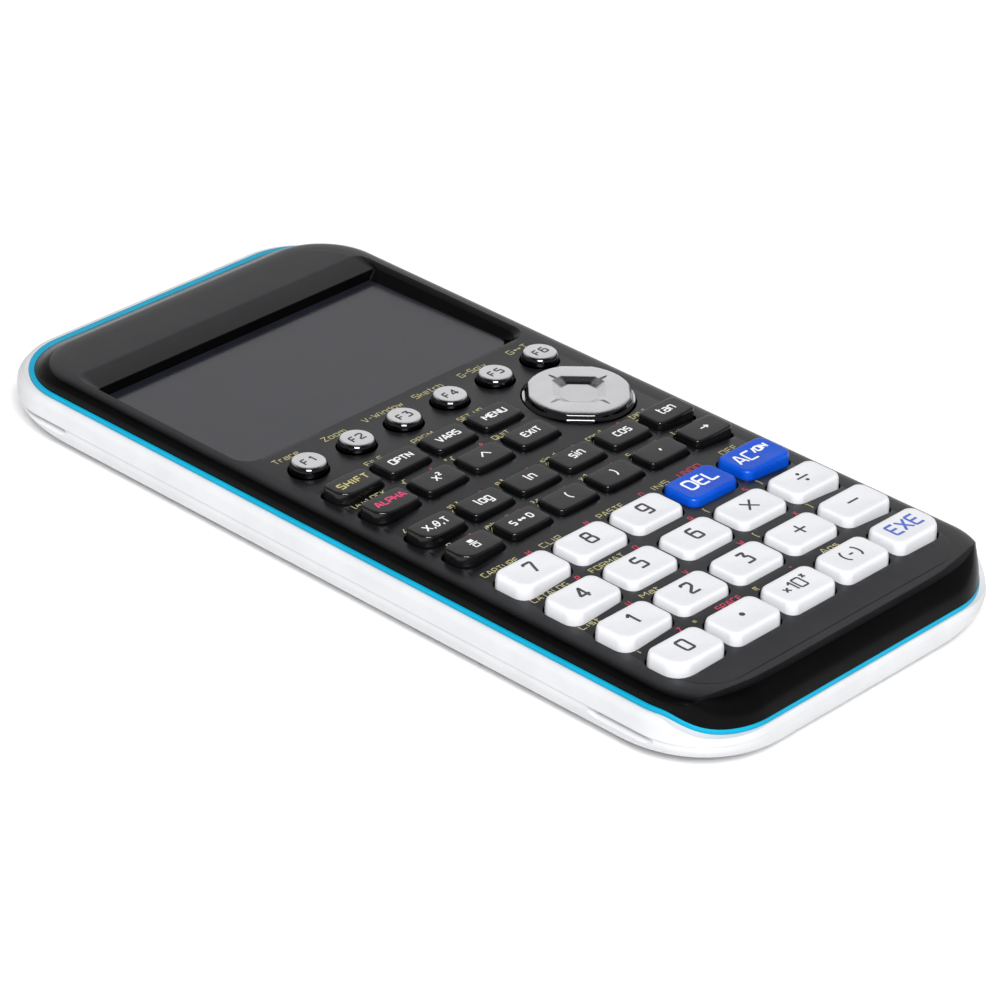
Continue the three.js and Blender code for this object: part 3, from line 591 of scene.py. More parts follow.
def build_rear():
    low = spline(REAR, 36)
    low[0] = REAR[0]
    up = [(7.06, 1.16, 1.6, 0.6, 15.68), (7.16, 1.3, 1.74, 0.6, 15.62)] + spline(REAR_UP, 25) + REAR_LIP
    prof = [(max(z, 0.0), min(ox, 1.36), min(of, 1.8), min(on, 0.6), r) for z, ox, of, on, r in low + up]
    rear = loft("rear_cover_skin", [at(case_outline(ox, of, on, r, 26), z) for z, ox, of, on, r in prof])
    top = SEAM_Z - BAND_HALF - 0.05
    cut = [(120.0, LIP_TOP + 0.05), (91.0, LIP_TOP + 0.05), (78.0, top)] + [(y, z - BAND_HALF - 0.05) for y, z in SEAM_LINE if y < 77]
    boolean(rear, sideways("seam_cut", cut + [(-120.0, -20.0), (120.0, -20.0)], -60.0, 60.0), "INTERSECT")
    boolean(rear, loft("band_seat", [at(case_outline(0.14, 0.14, 0.14, SEAM_R + 0.14, 26), z) for z in (top, 20.0)]))
    cav = [p for p in REAR if p[0] >= 3.6] + [REAR_UP[1], REAR_UP[4]]
    rings = [at(case_outline(-6.6, -5.6, -6.4, 20, 8), FLOOR_Z)] + [at(case_outline(ox - WALL - 0.7, of - WALL - 0.7, on - WALL - 0.7, r - WALL - 0.7, 8), z) for z, ox, of, on, r in cav] + [at(case_outline(-2.5, -2.0, -2.5, 12, 8), 20.0)]
    boolean(rear, loft("cavity", rings))
    rib = loft("rib", [at(round_rect(-BAY_W - 1.2, BAY_W + 1.2, BAY_N - 1.2, BAY_F + 1.2, 2, 5), z) for z in (FLOOR_Z - 0.3, 8.0)])
    boolean(rear, rib, "UNION")
    bay = loft("bay", [at(round_rect(-BAY_W - g, BAY_W + g, BAY_N - g, BAY_F + g, 1.5 + g, 5), z) for z, g in ((-1.0, 1.0), (-0.02, 0.14), (0.06, 0.03), (0.2, 0.0), (9.0, 0.0))])
    boolean(rear, bay)
    posts, holes = [], []
    for x, y in ((-29.5, -72), (29.5, -72), (-29.5, -6), (29.5, -6), (-29.5, 80), (29.5, 80)):
        posts.append(loft("post", [at([(p[0] + x, p[1] + y) for p in circle(2.6, 28)], z) for z in (FLOOR_Z - 0.2, 8.6)]))
        holes.append(loft("bore", [at([(p[0] + x, p[1] + y) for p in circle(r, 28)], z) for z, r in ((-1.0, 2.9), (-0.02, 2.08), (0.1, 1.93), (0.3, 1.9), (6.2, 1.9))]))
    boolean(rear, merge("posts", posts), "UNION")
    boolean(rear, merge("bores", holes))
    slots = []
    for side in (-1, 1):
        for y0, y1 in ((-82.5, -66.0), (70.0, 86.0)):
            sec = [(6.3, 0.6), (6.42, 0.72), (7.58, 0.72), (7.7, 0.6)]
            x_in = SEAM_HALF_WIDTH - 0.1
            ang = 10
            for_ring = []
            for y, open_ in ((y0, 0), (y0 + 2.6, 1), (y1 - 2.6, 1), (y1, 0)):
                xi = x_in if open_ else SEAM_HALF_WIDTH + 1.2
                for_ring.append([(side * xi, y, 6.0), (side * 50.0, y, 0.6), (side * 50.0, y, 8.6), (side * xi, y, 6.9)])
            verts = [p for r in for_ring for p in r]
            faces = [(0, 1, 2, 3), (15, 14, 13, 12)]
            for q in range(3):
                for i in range(4):
                    j = (i + 1) % 4
                    faces.append((q * 4 + i, (q + 1) * 4 + i, (q + 1) * 4 + j, q * 4 + j))
            s = mesh_object("slot", verts, faces)
            outward(s)
            slots.append(s)
    boolean(rear, merge("slots", slots))
    # shallow grip grooves near the screen end of the back
    grooves = [loft("groove", [at(round_rect(-16.0, 16.0, 52.0 + i * 3.2, 53.2 + i * 3.2, 0.59, 5), z) for z in (-1.0, 0.35)]) for i in range(5)]
    boolean(rear, merge("grooves", grooves))
    smooth(rear, 30.0)
    paint(rear, "white_case")
    return put(rear, "case", "white_case", "rear_cover")


def build_door():
    x, n, f = BAY_W - GAP, BAY_N + GAP, BAY_F - GAP
    rings = [(0.0 + 0.25, -0.18), (0.3, -0.06), (0.4, 0.0), (1.1, 0.0)]
    door = loft("battery_door_skin", [at(round_rect(-x - g, x + g, n - g, f + g, 1.2 + g, 6), z) for z, g in rings])
    cuts = [loft("scoop", [at(round_rect(-7 - g, 7 + g, n + 2.15 - g, n + 6.15 + g, 1.9 + g, 8), z) for z, g in ((-1.0, 0.4), (0.25, 0.25), (0.4, 0.05), (0.6, -0.3))])]
    cuts += [loft("rib", [at(round_rect(-18.0, 18.0, f - 4.0 - i * 2.2, f - 3.2 - i * 2.2, 0.39, 4), z) for z in (-1.0, 0.4)]) for i in range(4)]
    boolean(door, merge("door_cuts", cuts))
    smooth(door, 30.0)
    paint(door, "white_case")
    return put(door, "battery_door", "white_case", "battery_door")


# ------------------------------------------------------------------ screen window
def build_window():
    w, y0, y1 = SCR_W - SCR_RUN - 0.4, SCR_N + SCR_RUN + 0.4, SCR_STEP - 0.4

    def ring(g, dz):
        return [(p[0], p[1], tray_floor(p[1], dz)) for p in round_rect(-w - g, w + g, y0 - g, y1 + g, (2.8 + g, 2.8 + g, 0.7, 0.7), 10)]
    win = loft("screen_window_skin", [ring(0.2, -GLASS), ring(0.22, -0.14), ring(0.18, -0.04), ring(0.05, 0.0)])
    smooth(win, 30.0)
    paint(win, "screen_window")
    return put(win, "case", "screen_window", "screen_window")


# ------------------------------------------------------------------ key caps
def cap(name, outline_at, profile, top, steps=9):
    """outline_at(inset) gives the plan, profile is [(inset, z)], top(x, y, t) is the height inside the last ring (t 1 at the ring, 0 in the middle)."""
    rings = [at(outline_at(-i), z) for i, z in profile]
    last = rings[-1]
    n = len(last)
    for k in range(1, steps):
        t = 1.0 - k / steps
        rings.append([(x * t, y * t, top(x * t, y * t, t)) for x, y, _ in last])
    verts = [p for r in rings for p in r] + [(0.0, 0.0, top(0.0, 0.0, 0.0))]
    faces = [tuple(range(n - 1, -1, -1))]
    for k in range(len(rings) - 1):
        for i in range(n):
            j = (i + 1) % n
            faces.append((k * n + i, k * n + j, (k + 1) * n + j, (k + 1) * n + i))
    c = len(verts) - 1
    b = (len(rings) - 1) * n
    faces += [(b + i, b + (i + 1) % n, c) for i in range(n)]
    return mesh_object(name, verts, faces)


def number_cap(k):
    prof = [(0.0, KEY_BOTTOM), (0.02, 16.5), (0.06, 17.2), (0.11, 17.6), (0.18, 17.95), (0.28, 18.2), (0.43, 18.35), (0.62, 18.42), (0.9, 18.44), (1.3, 18.43)]

    def out(g):
        i = -g
        r = [max(v - i * 0.5, 0.4) for v in k["r"]]
        return round_rect(-NUM_W / 2 + i, NUM_W / 2 - i, -NUM_D / 2 + i, NUM_D / 2 - i, r, 8)

    def top(x, y, t):
        return 18.43 - 0.13 * (1.0 - t ** 2)
    return cap(k["name"] + "_cap", out, prof, top, 8)


def function_cap(k):
    prof = [(0.0, KEY_BOTTOM), (0.02, 16.0), (0.06, 17.0), (0.12, 17.75), (0.17, 17.98), (0.26, 18.1), (0.40, 18.17), (0.58, 18.2)]

    def out(g):
        i = -g
        r = [max(v - i * 0.5, 0.3) for v in k["r"]]
        pts = round_rect(-FUN_W / 2 + i, FUN_W / 2 - i, -FUN_D / 2 + i, FUN_D / 2 - i, r, 8)
        # more points along the long sides, which bow out a little
        full = []
        for q, p in enumerate(pts):
            p2 = pts[(q + 1) % len(pts)]
            full.append(p)
            if math.dist(p, p2) > 3.0:
                for s in range(1, 8):
                    full.append((p[0] + (p2[0] - p[0]) * s / 8, p[1] + (p2[1] - p[1]) * s / 8))
        return [(x, y * (1.0 - 0.075 * (abs(x) / (FUN_W / 2)) ** 2.2)) for x, y in full]

    def top(x, y, t):
        return 18.2 + 0.07 * (1 - t ** 2) - 0.10 * (1 - (x / 5.3) ** 2) * 0.0
    o = cap(k["name"] + "_cap", out, prof, top, 6)
    return o


def f_cap(k):
    prof = [(0.0, KEY_BOTTOM), (0.0, 17.1), (0.05, 17.3), (0.14, 17.5), (0.26, 17.68), (0.38, 17.83), (0.5, 17.94), (0.6, 17.99)]
    return cap(k["name"] + "_cap", lambda g: circle(F_R + g, 48), prof, lambda x, y, t: 18.0 - 0.0 * t, 5)


def cursor_pad():
    n = 144

    def octagon(diag, axis, z, soft=0.0, limit=99.0):
        """Eight-sided plan: distance to the sides that face the diagonals and the axes, corners softened towards a circle."""
        out = []
        for i in range(n):
            a = (i + 0.5) * 2 * math.pi / n
            m = limit
            for q in range(8):
                c = math.cos(a - q * math.pi / 4)
                if c > 0.05:
                    m = min(m, (axis if q % 2 == 0 else diag) / c)
            mean = (diag + axis) / 2 * 1.03
            r = m * (1 - soft) + min(mean, limit) * soft
            out.append((r * math.cos(a), r * math.sin(a), z))
        return out
    rings = [at(circle(11.0, n), KEY_BOTTOM), at(circle(11.0, n), 16.8)]
    rings += [octagon(d, 20.0, z, 0.0, q) for d, q, z in ((10.98, 11.0, 16.86), (10.72, 10.93, 16.93), (10.46, 10.8, 17.08), (10.27, 10.62, 17.3), (10.15, 10.5, 17.55), (10.05, 10.42, 17.85), (9.95, 10.33, 18.08), (9.78, 10.2, 18.24), (9.5, 10.0, 18.35),
                                                          (9.0, 9.62, 18.43), (8.5, 9.15, 18.475), (7.7, 8.4, 18.49))]
    rings += [octagon(6.6, 7.4, 18.5, 0.4), octagon(5.35, 6.3, 18.5, 0.05), octagon(5.2, 6.12, 18.47, 0.03), octagon(5.05, 5.95, 18.41, 0.03)]
    rings += [octagon(3.68, 3.95, 17.68, 0.06), octagon(3.55, 3.8, 17.63, 0.08), octagon(3.35, 3.6, 17.6, 0.15), octagon(2.2, 2.3, 17.6, 0.6), octagon(1.1, 1.1, 17.6, 0.9)]
    verts = [p for r in rings for p in r] + [(0, 0, 17.6)]
    faces = [tuple(range(n - 1, -1, -1))]
    for k in range(len(rings) - 1):
        for i in range(n):
            j = (i + 1) % n
            faces.append((k * n + i, k * n + j, (k + 1) * n + j, (k + 1) * n + i))
    b = (len(rings) - 1) * n
    faces += [(b + i, b + (i + 1) % n, len(verts) - 1) for i in range(n)]
    pad = mesh_object("cursor_pad_skin", verts, faces)
    # four V grooves out from the dish, one to each side
    cuts = []
    for q in range(4):
        a = q * math.pi / 2
        c, s_ = math.cos(a), math.sin(a)
        rings_v = []
        for r, w, z in ((3.9, 0.42, 17.72), (5.4, 0.42, 18.08), (7.2, 0.34, 18.2), (8.15, 0.12, 18.42)):
            top = 18.5 + (18.5 - z) * 0.6
            half = w * 1.6
            rings_v.append([(r * c - t * s_, r * s_ + t * c, zz) for t, zz in ((0.0, z), (half, top), (-half, top))])
        verts = [p for r in rings_v for p in r]
        faces = [(0, 1, 2), (11, 10, 9)]
        for k in range(3):
            for i in range(3):
                j = (i + 1) % 3
                faces.append((k * 3 + i, (k + 1) * 3 + i, (k + 1) * 3 + j, k * 3 + j))
        g = mesh_object("groove", verts, faces)
        outward(g)
        cuts.append(g)
    boolean(pad, merge("grooves", cuts))
    return pad


def place(o, x, y):
    o.data.transform(Matrix.Translation((x * MM, y * MM, 0.0)))
    o.data.update()


def paint_dark_chrome_sides(o, chosen):
    """Near-black chrome on the outer sides of a plated key: painted shade in place of the dark reflection that chrome
    sides show.
    """
    o.data.materials.append(MAT["chrome_painted_dark_sides"])
    for q in o.data.polygons:
        if chosen(q):
            q.material_index = 1


CAPS = {}


def build_keys():
    for k in KEYS:
        if k["kind"] == "number":
            o, slot = number_cap(k), "blue_key" if k["blue"] else "white_key"
        elif k["kind"] == "function":
            o, slot = function_cap(k), "black_key"
        else:
            o, slot = f_cap(k), "chrome_key"
        place(o, k["x"], k["y"])
        smooth(o, 50.0 if k["kind"] != "function" else 60.0)
        paint(o, slot)
        if k["kind"] == "round":
            # the outer sides take near-black chrome, painted shade
            paint_dark_chrome_sides(o, lambda q: q.normal.z < 0.72)
        put(o, k["name"], slot, k["name"])
        CAPS[k["name"]] = o
    pad = cursor_pad()
    place(pad, PAD_X, PAD_Y)
    smooth(pad, 30.0)
    paint(pad, "chrome_key")
    # the outer skirt of the pad takes near-black chrome, painted shade
    paint_dark_chrome_sides(pad, lambda q: q.normal.z < 0.78 and math.hypot(q.center.x / MM - PAD_X, q.center.y / MM - PAD_Y) > 9.4)
    put(pad, "cursor_pad", "chrome_key", "cursor_pad")
    CAPS["cursor_pad"] = pad


# ------------------------------------------------------------------ lettering: a squared stroke alphabet
def O_(x0, y0, x1, y1):
    return [(x0, y0), (x1, y0), (x1, y1), (x0, y1), "loop"]


G = {
    "0": (0.62, [O_(0, 0, 0.62, 1)]),
    "1": (0.36, [[(0.0, 0.74), (0.26, 1.0), (0.26, 0.0)]]),
    "2": (0.62, [[(0.0, 0.82), (0.0, 1.0), (0.60, 1.0), (0.60, 0.62), (0.0, 0.16), (0.0, 0.0), (0.64, 0.0)]]),
    "3": (0.62, [[(0.02, 1.0), (0.60, 1.0), (0.30, 0.60), (0.62, 0.60), (0.62, 0.0), (0.0, 0.0)]]),
    "4": (0.66, [[(0.48, 0.0), (0.48, 1.0), (0.0, 0.30), (0.0, 0.26), (0.68, 0.26)]]),
    "5": (0.62, [[(0.58, 1.0), (0.03, 1.0), (0.03, 0.58), (0.62, 0.58), (0.62, 0.0), (0.0, 0.0)]]),
    "6": (0.62, [[(0.54, 1.0), (0.0, 1.0), (0.0, 0.3)], O_(0, 0, 0.62, 0.60)]),
    "7": (0.60, [[(0.0, 0.84), (0.0, 1.0), (0.62, 1.0), (0.22, 0.0)]]),
    "8": (0.62, [O_(0, 0, 0.62, 0.55), O_(0.04, 0.55, 0.58, 1.0)]),
    "9": (0.62, [[(0.08, 0.0), (0.62, 0.0), (0.62, 0.7)], O_(0, 0.40, 0.62, 1.0)]),
    "A": (0.66, [[(0.0, 0.0), (0.27, 1.0), (0.39, 1.0), (0.66, 0.0)], [(0.12, 0.28), (0.54, 0.28)]]),
    "B": (0.60, [[(0.0, 0.0), (0.58, 0.0), (0.58, 0.52), (0.0, 0.52)], [(0.0, 0.0), (0.0, 1.0), (0.52, 1.0), (0.52, 0.52)]]),
    "C": (0.60, [[(0.60, 1.0), (0.0, 1.0), (0.0, 0.0), (0.60, 0.0)]]),
    "D": (0.64, [[(0.0, 0.0), (0.46, 0.0), (0.64, 0.18), (0.64, 0.82), (0.46, 1.0), (0.0, 1.0), "loop"]]),
    "E": (0.56, [[(0.56, 1.0), (0.0, 1.0), (0.0, 0.0), (0.56, 0.0)], [(0.0, 0.52), (0.50, 0.52)]]),
    "F": (0.54, [[(0.56, 1.0), (0.0, 1.0), (0.0, 0.0)], [(0.0, 0.50), (0.48, 0.50)]]),
    "G": (0.62, [[(0.60, 1.0), (0.0, 1.0), (0.0, 0.0), (0.60, 0.0), (0.60, 0.48), (0.34, 0.48)]]),
    "H": (0.60, [[(0.0, 0.0), (0.0, 1.0)], [(0.60, 0.0), (0.60, 1.0)], [(0.0, 0.5), (0.60, 0.5)]]),
    "I": (0.10, [[(0.05, 0.0), (0.05, 1.0)]]),
    "J": (0.5, [[(0.46, 1.0), (0.46, 0.0), (0.0, 0.0), (0.0, 0.2)]]),
    "K": (0.58, [[(0.0, 0.0), (0.0, 1.0)], [(0.56, 1.0), (0.04, 0.46)], [(0.20, 0.58), (0.60, 0.0)]]),
    "L": (0.52, [[(0.0, 1.0), (0.0, 0.0), (0.54, 0.0)]]),
    "M": (0.74, [[(0.0, 0.0), (0.0, 1.0), (0.37, 0.40), (0.74, 1.0), (0.74, 0.0)]]),
    "N": (0.62, [[(0.0, 0.0), (0.0, 1.0), (0.62, 0.0), (0.62, 1.0)]]),
    "O": (0.64, [O_(0, 0, 0.64, 1)]),
    "P": (0.58, [[(0.0, 0.0), (0.0, 1.0), (0.58, 1.0), (0.58, 0.42), (0.0, 0.42)]]),
    "Q": (0.64, [O_(0, 0, 0.64, 1), [(0.36, 0.28), (0.68, -0.06)]]),
    "R": (0.60, [[(0.0, 0.0), (0.0, 1.0), (0.58, 1.0), (0.58, 0.44), (0.0, 0.44)], [(0.32, 0.44), (0.62, 0.0)]]),
    "S": (0.58, [[(0.58, 1.0), (0.0, 1.0), (0.0, 0.52), (0.58, 0.52), (0.58, 0.0), (0.0, 0.0)]]),
    "T": (0.60, [[(0.0, 1.0), (0.62, 1.0)], [(0.31, 0.0), (0.31, 1.0)]]),
    "U": (0.62, [[(0.0, 1.0), (0.0, 0.0), (0.62, 0.0), (0.62, 1.0)]]),
    "V": (0.64, [[(0.0, 1.0), (0.28, 0.0), (0.36, 0.0), (0.64, 1.0)]]),
    "W": (0.86, [[(0.0, 1.0), (0.22, 0.0), (0.43, 0.75), (0.64, 0.0), (0.86, 1.0)]]),
    "X": (0.62, [[(0.0, 0.0), (0.62, 1.0)], [(0.0, 1.0), (0.62, 0.0)]]),
    "Y": (0.62, [[(0.0, 1.0), (0.31, 0.48), (0.31, 0.0)], [(0.31, 0.48), (0.62, 1.0)]]),
    "Z": (0.60, [[(0.0, 1.0), (0.60, 1.0), (0.0, 0.0), (0.62, 0.0)]]),
    "a": (0.50, [[(0.04, 0.70), (0.50, 0.70), (0.50, 0.0), (0.0, 0.0), (0.0, 0.40), (0.50, 0.40)]]),
    "b": (0.50, [[(0.0, 1.0), (0.0, 0.0), (0.50, 0.0), (0.50, 0.70), (0.0, 0.70)]]),
    "c": (0.46, [[(0.48, 0.70), (0.0, 0.70), (0.0, 0.0), (0.48, 0.0)]]),
    "d": (0.50, [[(0.50, 1.0), (0.50, 0.0), (0.0, 0.0), (0.0, 0.70), (0.50, 0.70)]]),
    "e": (0.50, [[(0.48, 0.0), (0.0, 0.0), (0.0, 0.70), (0.50, 0.70), (0.50, 0.36), (0.0, 0.36)]]),
    "g": (0.50, [[(0.50, 0.0), (0.0, 0.0), (0.0, 0.70), (0.50, 0.70), (0.50, -0.28), (0.04, -0.28)]]),
    "h": (0.50, [[(0.0, 0.0), (0.0, 1.0)], [(0.0, 0.70), (0.50, 0.70), (0.50, 0.0)]]),
    "i": (0.10, [[(0.05, 0.0), (0.05, 0.70)], [(0.05, 0.88), (0.05, 1.0)]]),
    "k": (0.46, [[(0.0, 0.0), (0.0, 1.0)], [(0.46, 0.70), (0.04, 0.34)], [(0.18, 0.44), (0.48, 0.0)]]),
    "l": (0.16, [[(0.04, 1.0), (0.04, 0.0), (0.18, 0.0)]]),
    "m": (0.74, [[(0.0, 0.0), (0.0, 0.70), (0.74, 0.70), (0.74, 0.0)], [(0.37, 0.70), (0.37, 0.0)]]),
    "n": (0.50, [[(0.0, 0.0), (0.0, 0.70), (0.50, 0.70), (0.50, 0.0)]]),
    "o": (0.50, [O_(0, 0, 0.50, 0.70)]),
    "p": (0.50, [[(0.0, -0.28), (0.0, 0.70), (0.50, 0.70), (0.50, 0.0), (0.0, 0.0)]]),
    "r": (0.36, [[(0.0, 0.0), (0.0, 0.70), (0.38, 0.70)]]),
    "s": (0.46, [[(0.46, 0.70), (0.0, 0.70), (0.0, 0.36), (0.46, 0.36), (0.46, 0.0), (0.0, 0.0)]]),
    "t": (0.36, [[(0.10, 1.0), (0.10, 0.0), (0.38, 0.0)], [(0.0, 0.70), (0.38, 0.70)]]),
    "v": (0.48, [[(0.0, 0.70), (0.24, 0.0), (0.48, 0.70)]]),
    "w": (0.70, [[(0.0, 0.70), (0.17, 0.0), (0.35, 0.55), (0.53, 0.0), (0.70, 0.70)]]),
    "x": (0.46, [[(0.0, 0.0), (0.46, 0.70)], [(0.0, 0.70), (0.46, 0.0)]]),
    "u": (0.50, [[(0.0, 0.70), (0.0, 0.0), (0.50, 0.0), (0.50, 0.70)]]),
    "+": (0.80, [[(0.0, 0.5), (0.80, 0.5)], [(0.40, 0.1), (0.40, 0.9)]]),
    "-": (0.40, [[(0.0, 0.5), (0.40, 0.5)]]),
    "_": (0.80, [[(0.0, 0.5), (0.80, 0.5)]]),
    "*": (0.70, [[(0.0, 0.15), (0.70, 0.85)], [(0.0, 0.85), (0.70, 0.15)]]),
    "=": (0.56, [[(0.0, 0.36), (0.56, 0.36)], [(0.0, 0.66), (0.56, 0.66)]]),
    "/": (0.34, [[(0.0, -0.05), (0.34, 1.05)]]),
    "(": (0.26, [[(0.26, 1.1), (0.06, 0.86), (0.0, 0.5), (0.06, 0.14), (0.26, -0.1)]]),
    ")": (0.26, [[(0.0, 1.1), (0.20, 0.86), (0.26, 0.5), (0.20, 0.14), (0.0, -0.1)]]),
    "[": (0.24, [[(0.24, 1.1), (0.0, 1.1), (0.0, -0.1), (0.24, -0.1)]]),
    "]": (0.24, [[(0.0, 1.1), (0.24, 1.1), (0.24, -0.1), (0.0, -0.1)]]),
    "{": (0.30, [[(0.30, 1.1), (0.14, 1.1), (0.14, 0.56), (0.0, 0.5), (0.14, 0.44), (0.14, -0.1), (0.30, -0.1)]]),
    "}": (0.30, [[(0.0, 1.1), (0.16, 1.1), (0.16, 0.56), (0.30, 0.5), (0.16, 0.44), (0.16, -0.1), (0.0, -0.1)]]),
    ",": (0.12, [[(0.10, 0.12), (0.02, -0.16)]]),
    ".": (0.10, [[(0.05, -0.02), (0.05, 0.10)]]),
    "^": (0.90, [[(0.0, 0.28), (0.45, 0.80), (0.90, 0.28)]]),
    ">": (1.0, [[(0.0, 0.5), (0.98, 0.5)], [(0.66, 0.76), (1.0, 0.5), (0.66, 0.24)]]),
    "~": (0.9, [[(0.08, 0.5), (0.82, 0.5)], [(0.24, 0.68), (0.0, 0.5), (0.24, 0.32)], [(0.66, 0.68), (0.9, 0.5), (0.66, 0.32)]]),
    "@": (0.58, [[(0.0, 0.22), (0.08, 0.0), (0.34, 0.0), (0.54, 0.4), (0.60, 0.82), (0.50, 1.0), (0.26, 1.0), (0.06, 0.6), "loop"], [(0.05, 0.5), (0.56, 0.5)]]),
    "#": (0.66, [[(0.0, 0.74), (0.68, 0.74)], [(0.16, 0.0), (0.16, 0.74)], [(0.52, 0.74), (0.52, 0.0), (0.66, 0.0)]]),
    "<": (0.70, [[(0.62, 0.9), (0.0, 0.0), (0.70, 0.0)]]),
    "$": (0.70, [[(0.0, 0.42), (0.14, 0.5), (0.28, 0.0), (0.44, 1.0), (0.82, 1.0)]]),
    '"': (0.26, [[(0.03, 1.0), (0.03, 0.72)], [(0.23, 1.0), (0.23, 0.72)]]),
    "%": (1.0, [O_(0.0, 0.56, 0.44, 0.98), [(-0.02, 0.44), (0.46, 0.44)], O_(0.0, -0.10, 0.44, 0.32)]),
    " ": (0.34, []),
}


def glyphs(text, h, x, y, gap=0.20, wide=1.0):
    """Strokes of a line of text with cap height h; x, y is the left end of its baseline."""
    out, cx = [], x
    for ch in text:
        w, strokes = G[ch]
        for s in strokes:
            loop = s[-1] == "loop"
            pts = [(cx + p[0] * h * wide, y + p[1] * h) for p in (s[:-1] if loop else s)]
            out.append((pts, loop, ch))
        cx += (w * wide + gap) * h
    return out, cx - gap * h - x


def line(text, h, x, y, align="c", gap=0.20, wide=1.0, fit=None):
    _, w = glyphs(text, h, 0, 0, gap, wide)
    if fit:
        wide *= fit / w
        gap *= fit / w
        w = fit
    x0 = x - w / 2 if align == "c" else x - w if align == "r" else x
    return glyphs(text, h, x0, y, gap, wide)[0]


def rounded(pts, loop, r):
    """Polyline with its corners rounded, sampled finely enough to lie on a curved surface."""
    n = len(pts)
    out = []
    idx = range(n) if loop else range(1, n - 1)
    if not loop:
        out.append(pts[0])
    for i in idx:
        a, b, c = Vector(pts[i - 1]), Vector(pts[i]), Vector(pts[(i + 1) % n])
        u, v = (a - b), (c - b)
        lu, lv = u.length, v.length
        u.normalize()
        v.normalize()
        t = min(r, lu * 0.48, lv * 0.48)
        p0, p1 = b + u * t, b + v * t
        for k in range(5):
            s = k / 4
            q = p0 * (1 - s) ** 2 + b * 2 * s * (1 - s) + p1 * s ** 2
            out.append((q.x, q.y))
    if not loop:
        out.append(pts[-1])
    fine = []
    m = len(out)
    for i in range(m if loop else m - 1):
        p, q = out[i], out[(i + 1) % m]
        d = math.dist(p, q)
        if d < 1e-6:
            continue
        k = max(1, int(math.ceil(d / 0.45)))
        for s in range(k):
            fine.append((p[0] + (q[0] - p[0]) * s / k, p[1] + (q[1] - p[1]) * s / k))
    if not loop:
        fine.append(out[-1])
    return fine


def ribbon(strokes, width, corner):
    """Flat ribbons in plan: (points, faces), one strip for each stroke."""
    verts, faces, level = [], [], []
    for si, (pts, loop, ch) in enumerate(strokes):
        p = rounded(pts, loop, corner)
        n = len(p)
        if n < 2:
            continue
        base = len(verts)
        for i in range(n):
            a = p[i - 1] if (i > 0 or loop) else p[i]
            b = p[(i + 1) % n] if (i < n - 1 or loop) else p[i]
            d1 = Vector((p[i][0] - a[0], p[i][1] - a[1]))
            d2 = Vector((b[0] - p[i][0], b[1] - p[i][1]))
            if d1.length < 1e-9:
                d1 = d2
            if d2.length < 1e-9:
                d2 = d1
            d1.normalize()
            d2.normalize()
            t = (d1 + d2)
            if t.length < 1e-6:
                t = d1
            t.normalize()
            nrm = Vector((-t.y, t.x))
            k = width / 2 / max(nrm.dot(Vector((-d1.y, d1.x))), 0.5)
            verts.append((p[i][0] + nrm.x * k, p[i][1] + nrm.y * k))
            verts.append((p[i][0] - nrm.x * k, p[i][1] - nrm.y * k))
            level += [si, si]
        for i in range(n if loop else n - 1):
            j = (i + 1) % n
            faces.append((base + 2 * i, base + 2 * i + 1, base + 2 * j + 1, base + 2 * j))
    return verts, faces, level


def tree_of(o):
    bm = bmesh.new()
    bm.from_mesh(o.data)
    bmesh.ops.triangulate(bm, faces=bm.faces[:])
    t = BVHTree.FromBMesh(bm)
    bm.free()
    return t


def print_on(name, tree, strokes, width, corner, mat, body, lift=0.022, default_z=FACE_Z):
    v, f, level = ribbon(strokes, width, corner)
    verts = []
    for (x, y), lv in zip(v, level):
        if body == "case":
            up = crown(x, y)
            x, y = x - 1.28 * up, y - 1.16 * up
        hit = tree.ray_cast(Vector((x * MM, y * MM, 0.03)), Vector((0, 0, -1)))
        z = hit[0].z / MM if hit[0] is not None else default_z
        verts.append((x, y, z + lift + 0.0012 * (lv % 7)))
    o = mesh_object(name, verts, f)
    bm = bmesh.new()
    bm.from_mesh(o.data)
    for face in bm.faces:
        if face.normal.z < 0:
            face.normal_flip()
        face.smooth = True
    bm.to_mesh(o.data)
    bm.free()
    o.data.materials.append(MAT[mat])
    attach(o, body)
    return o


def dot(x, y, r):
    """A filled round dot as a thick short loop."""
    return ([(x + r * 0.5 * math.cos(a), y + r * 0.5 * math.sin(a)) for a in [i * math.pi / 4 for i in range(8)]], True, ".")


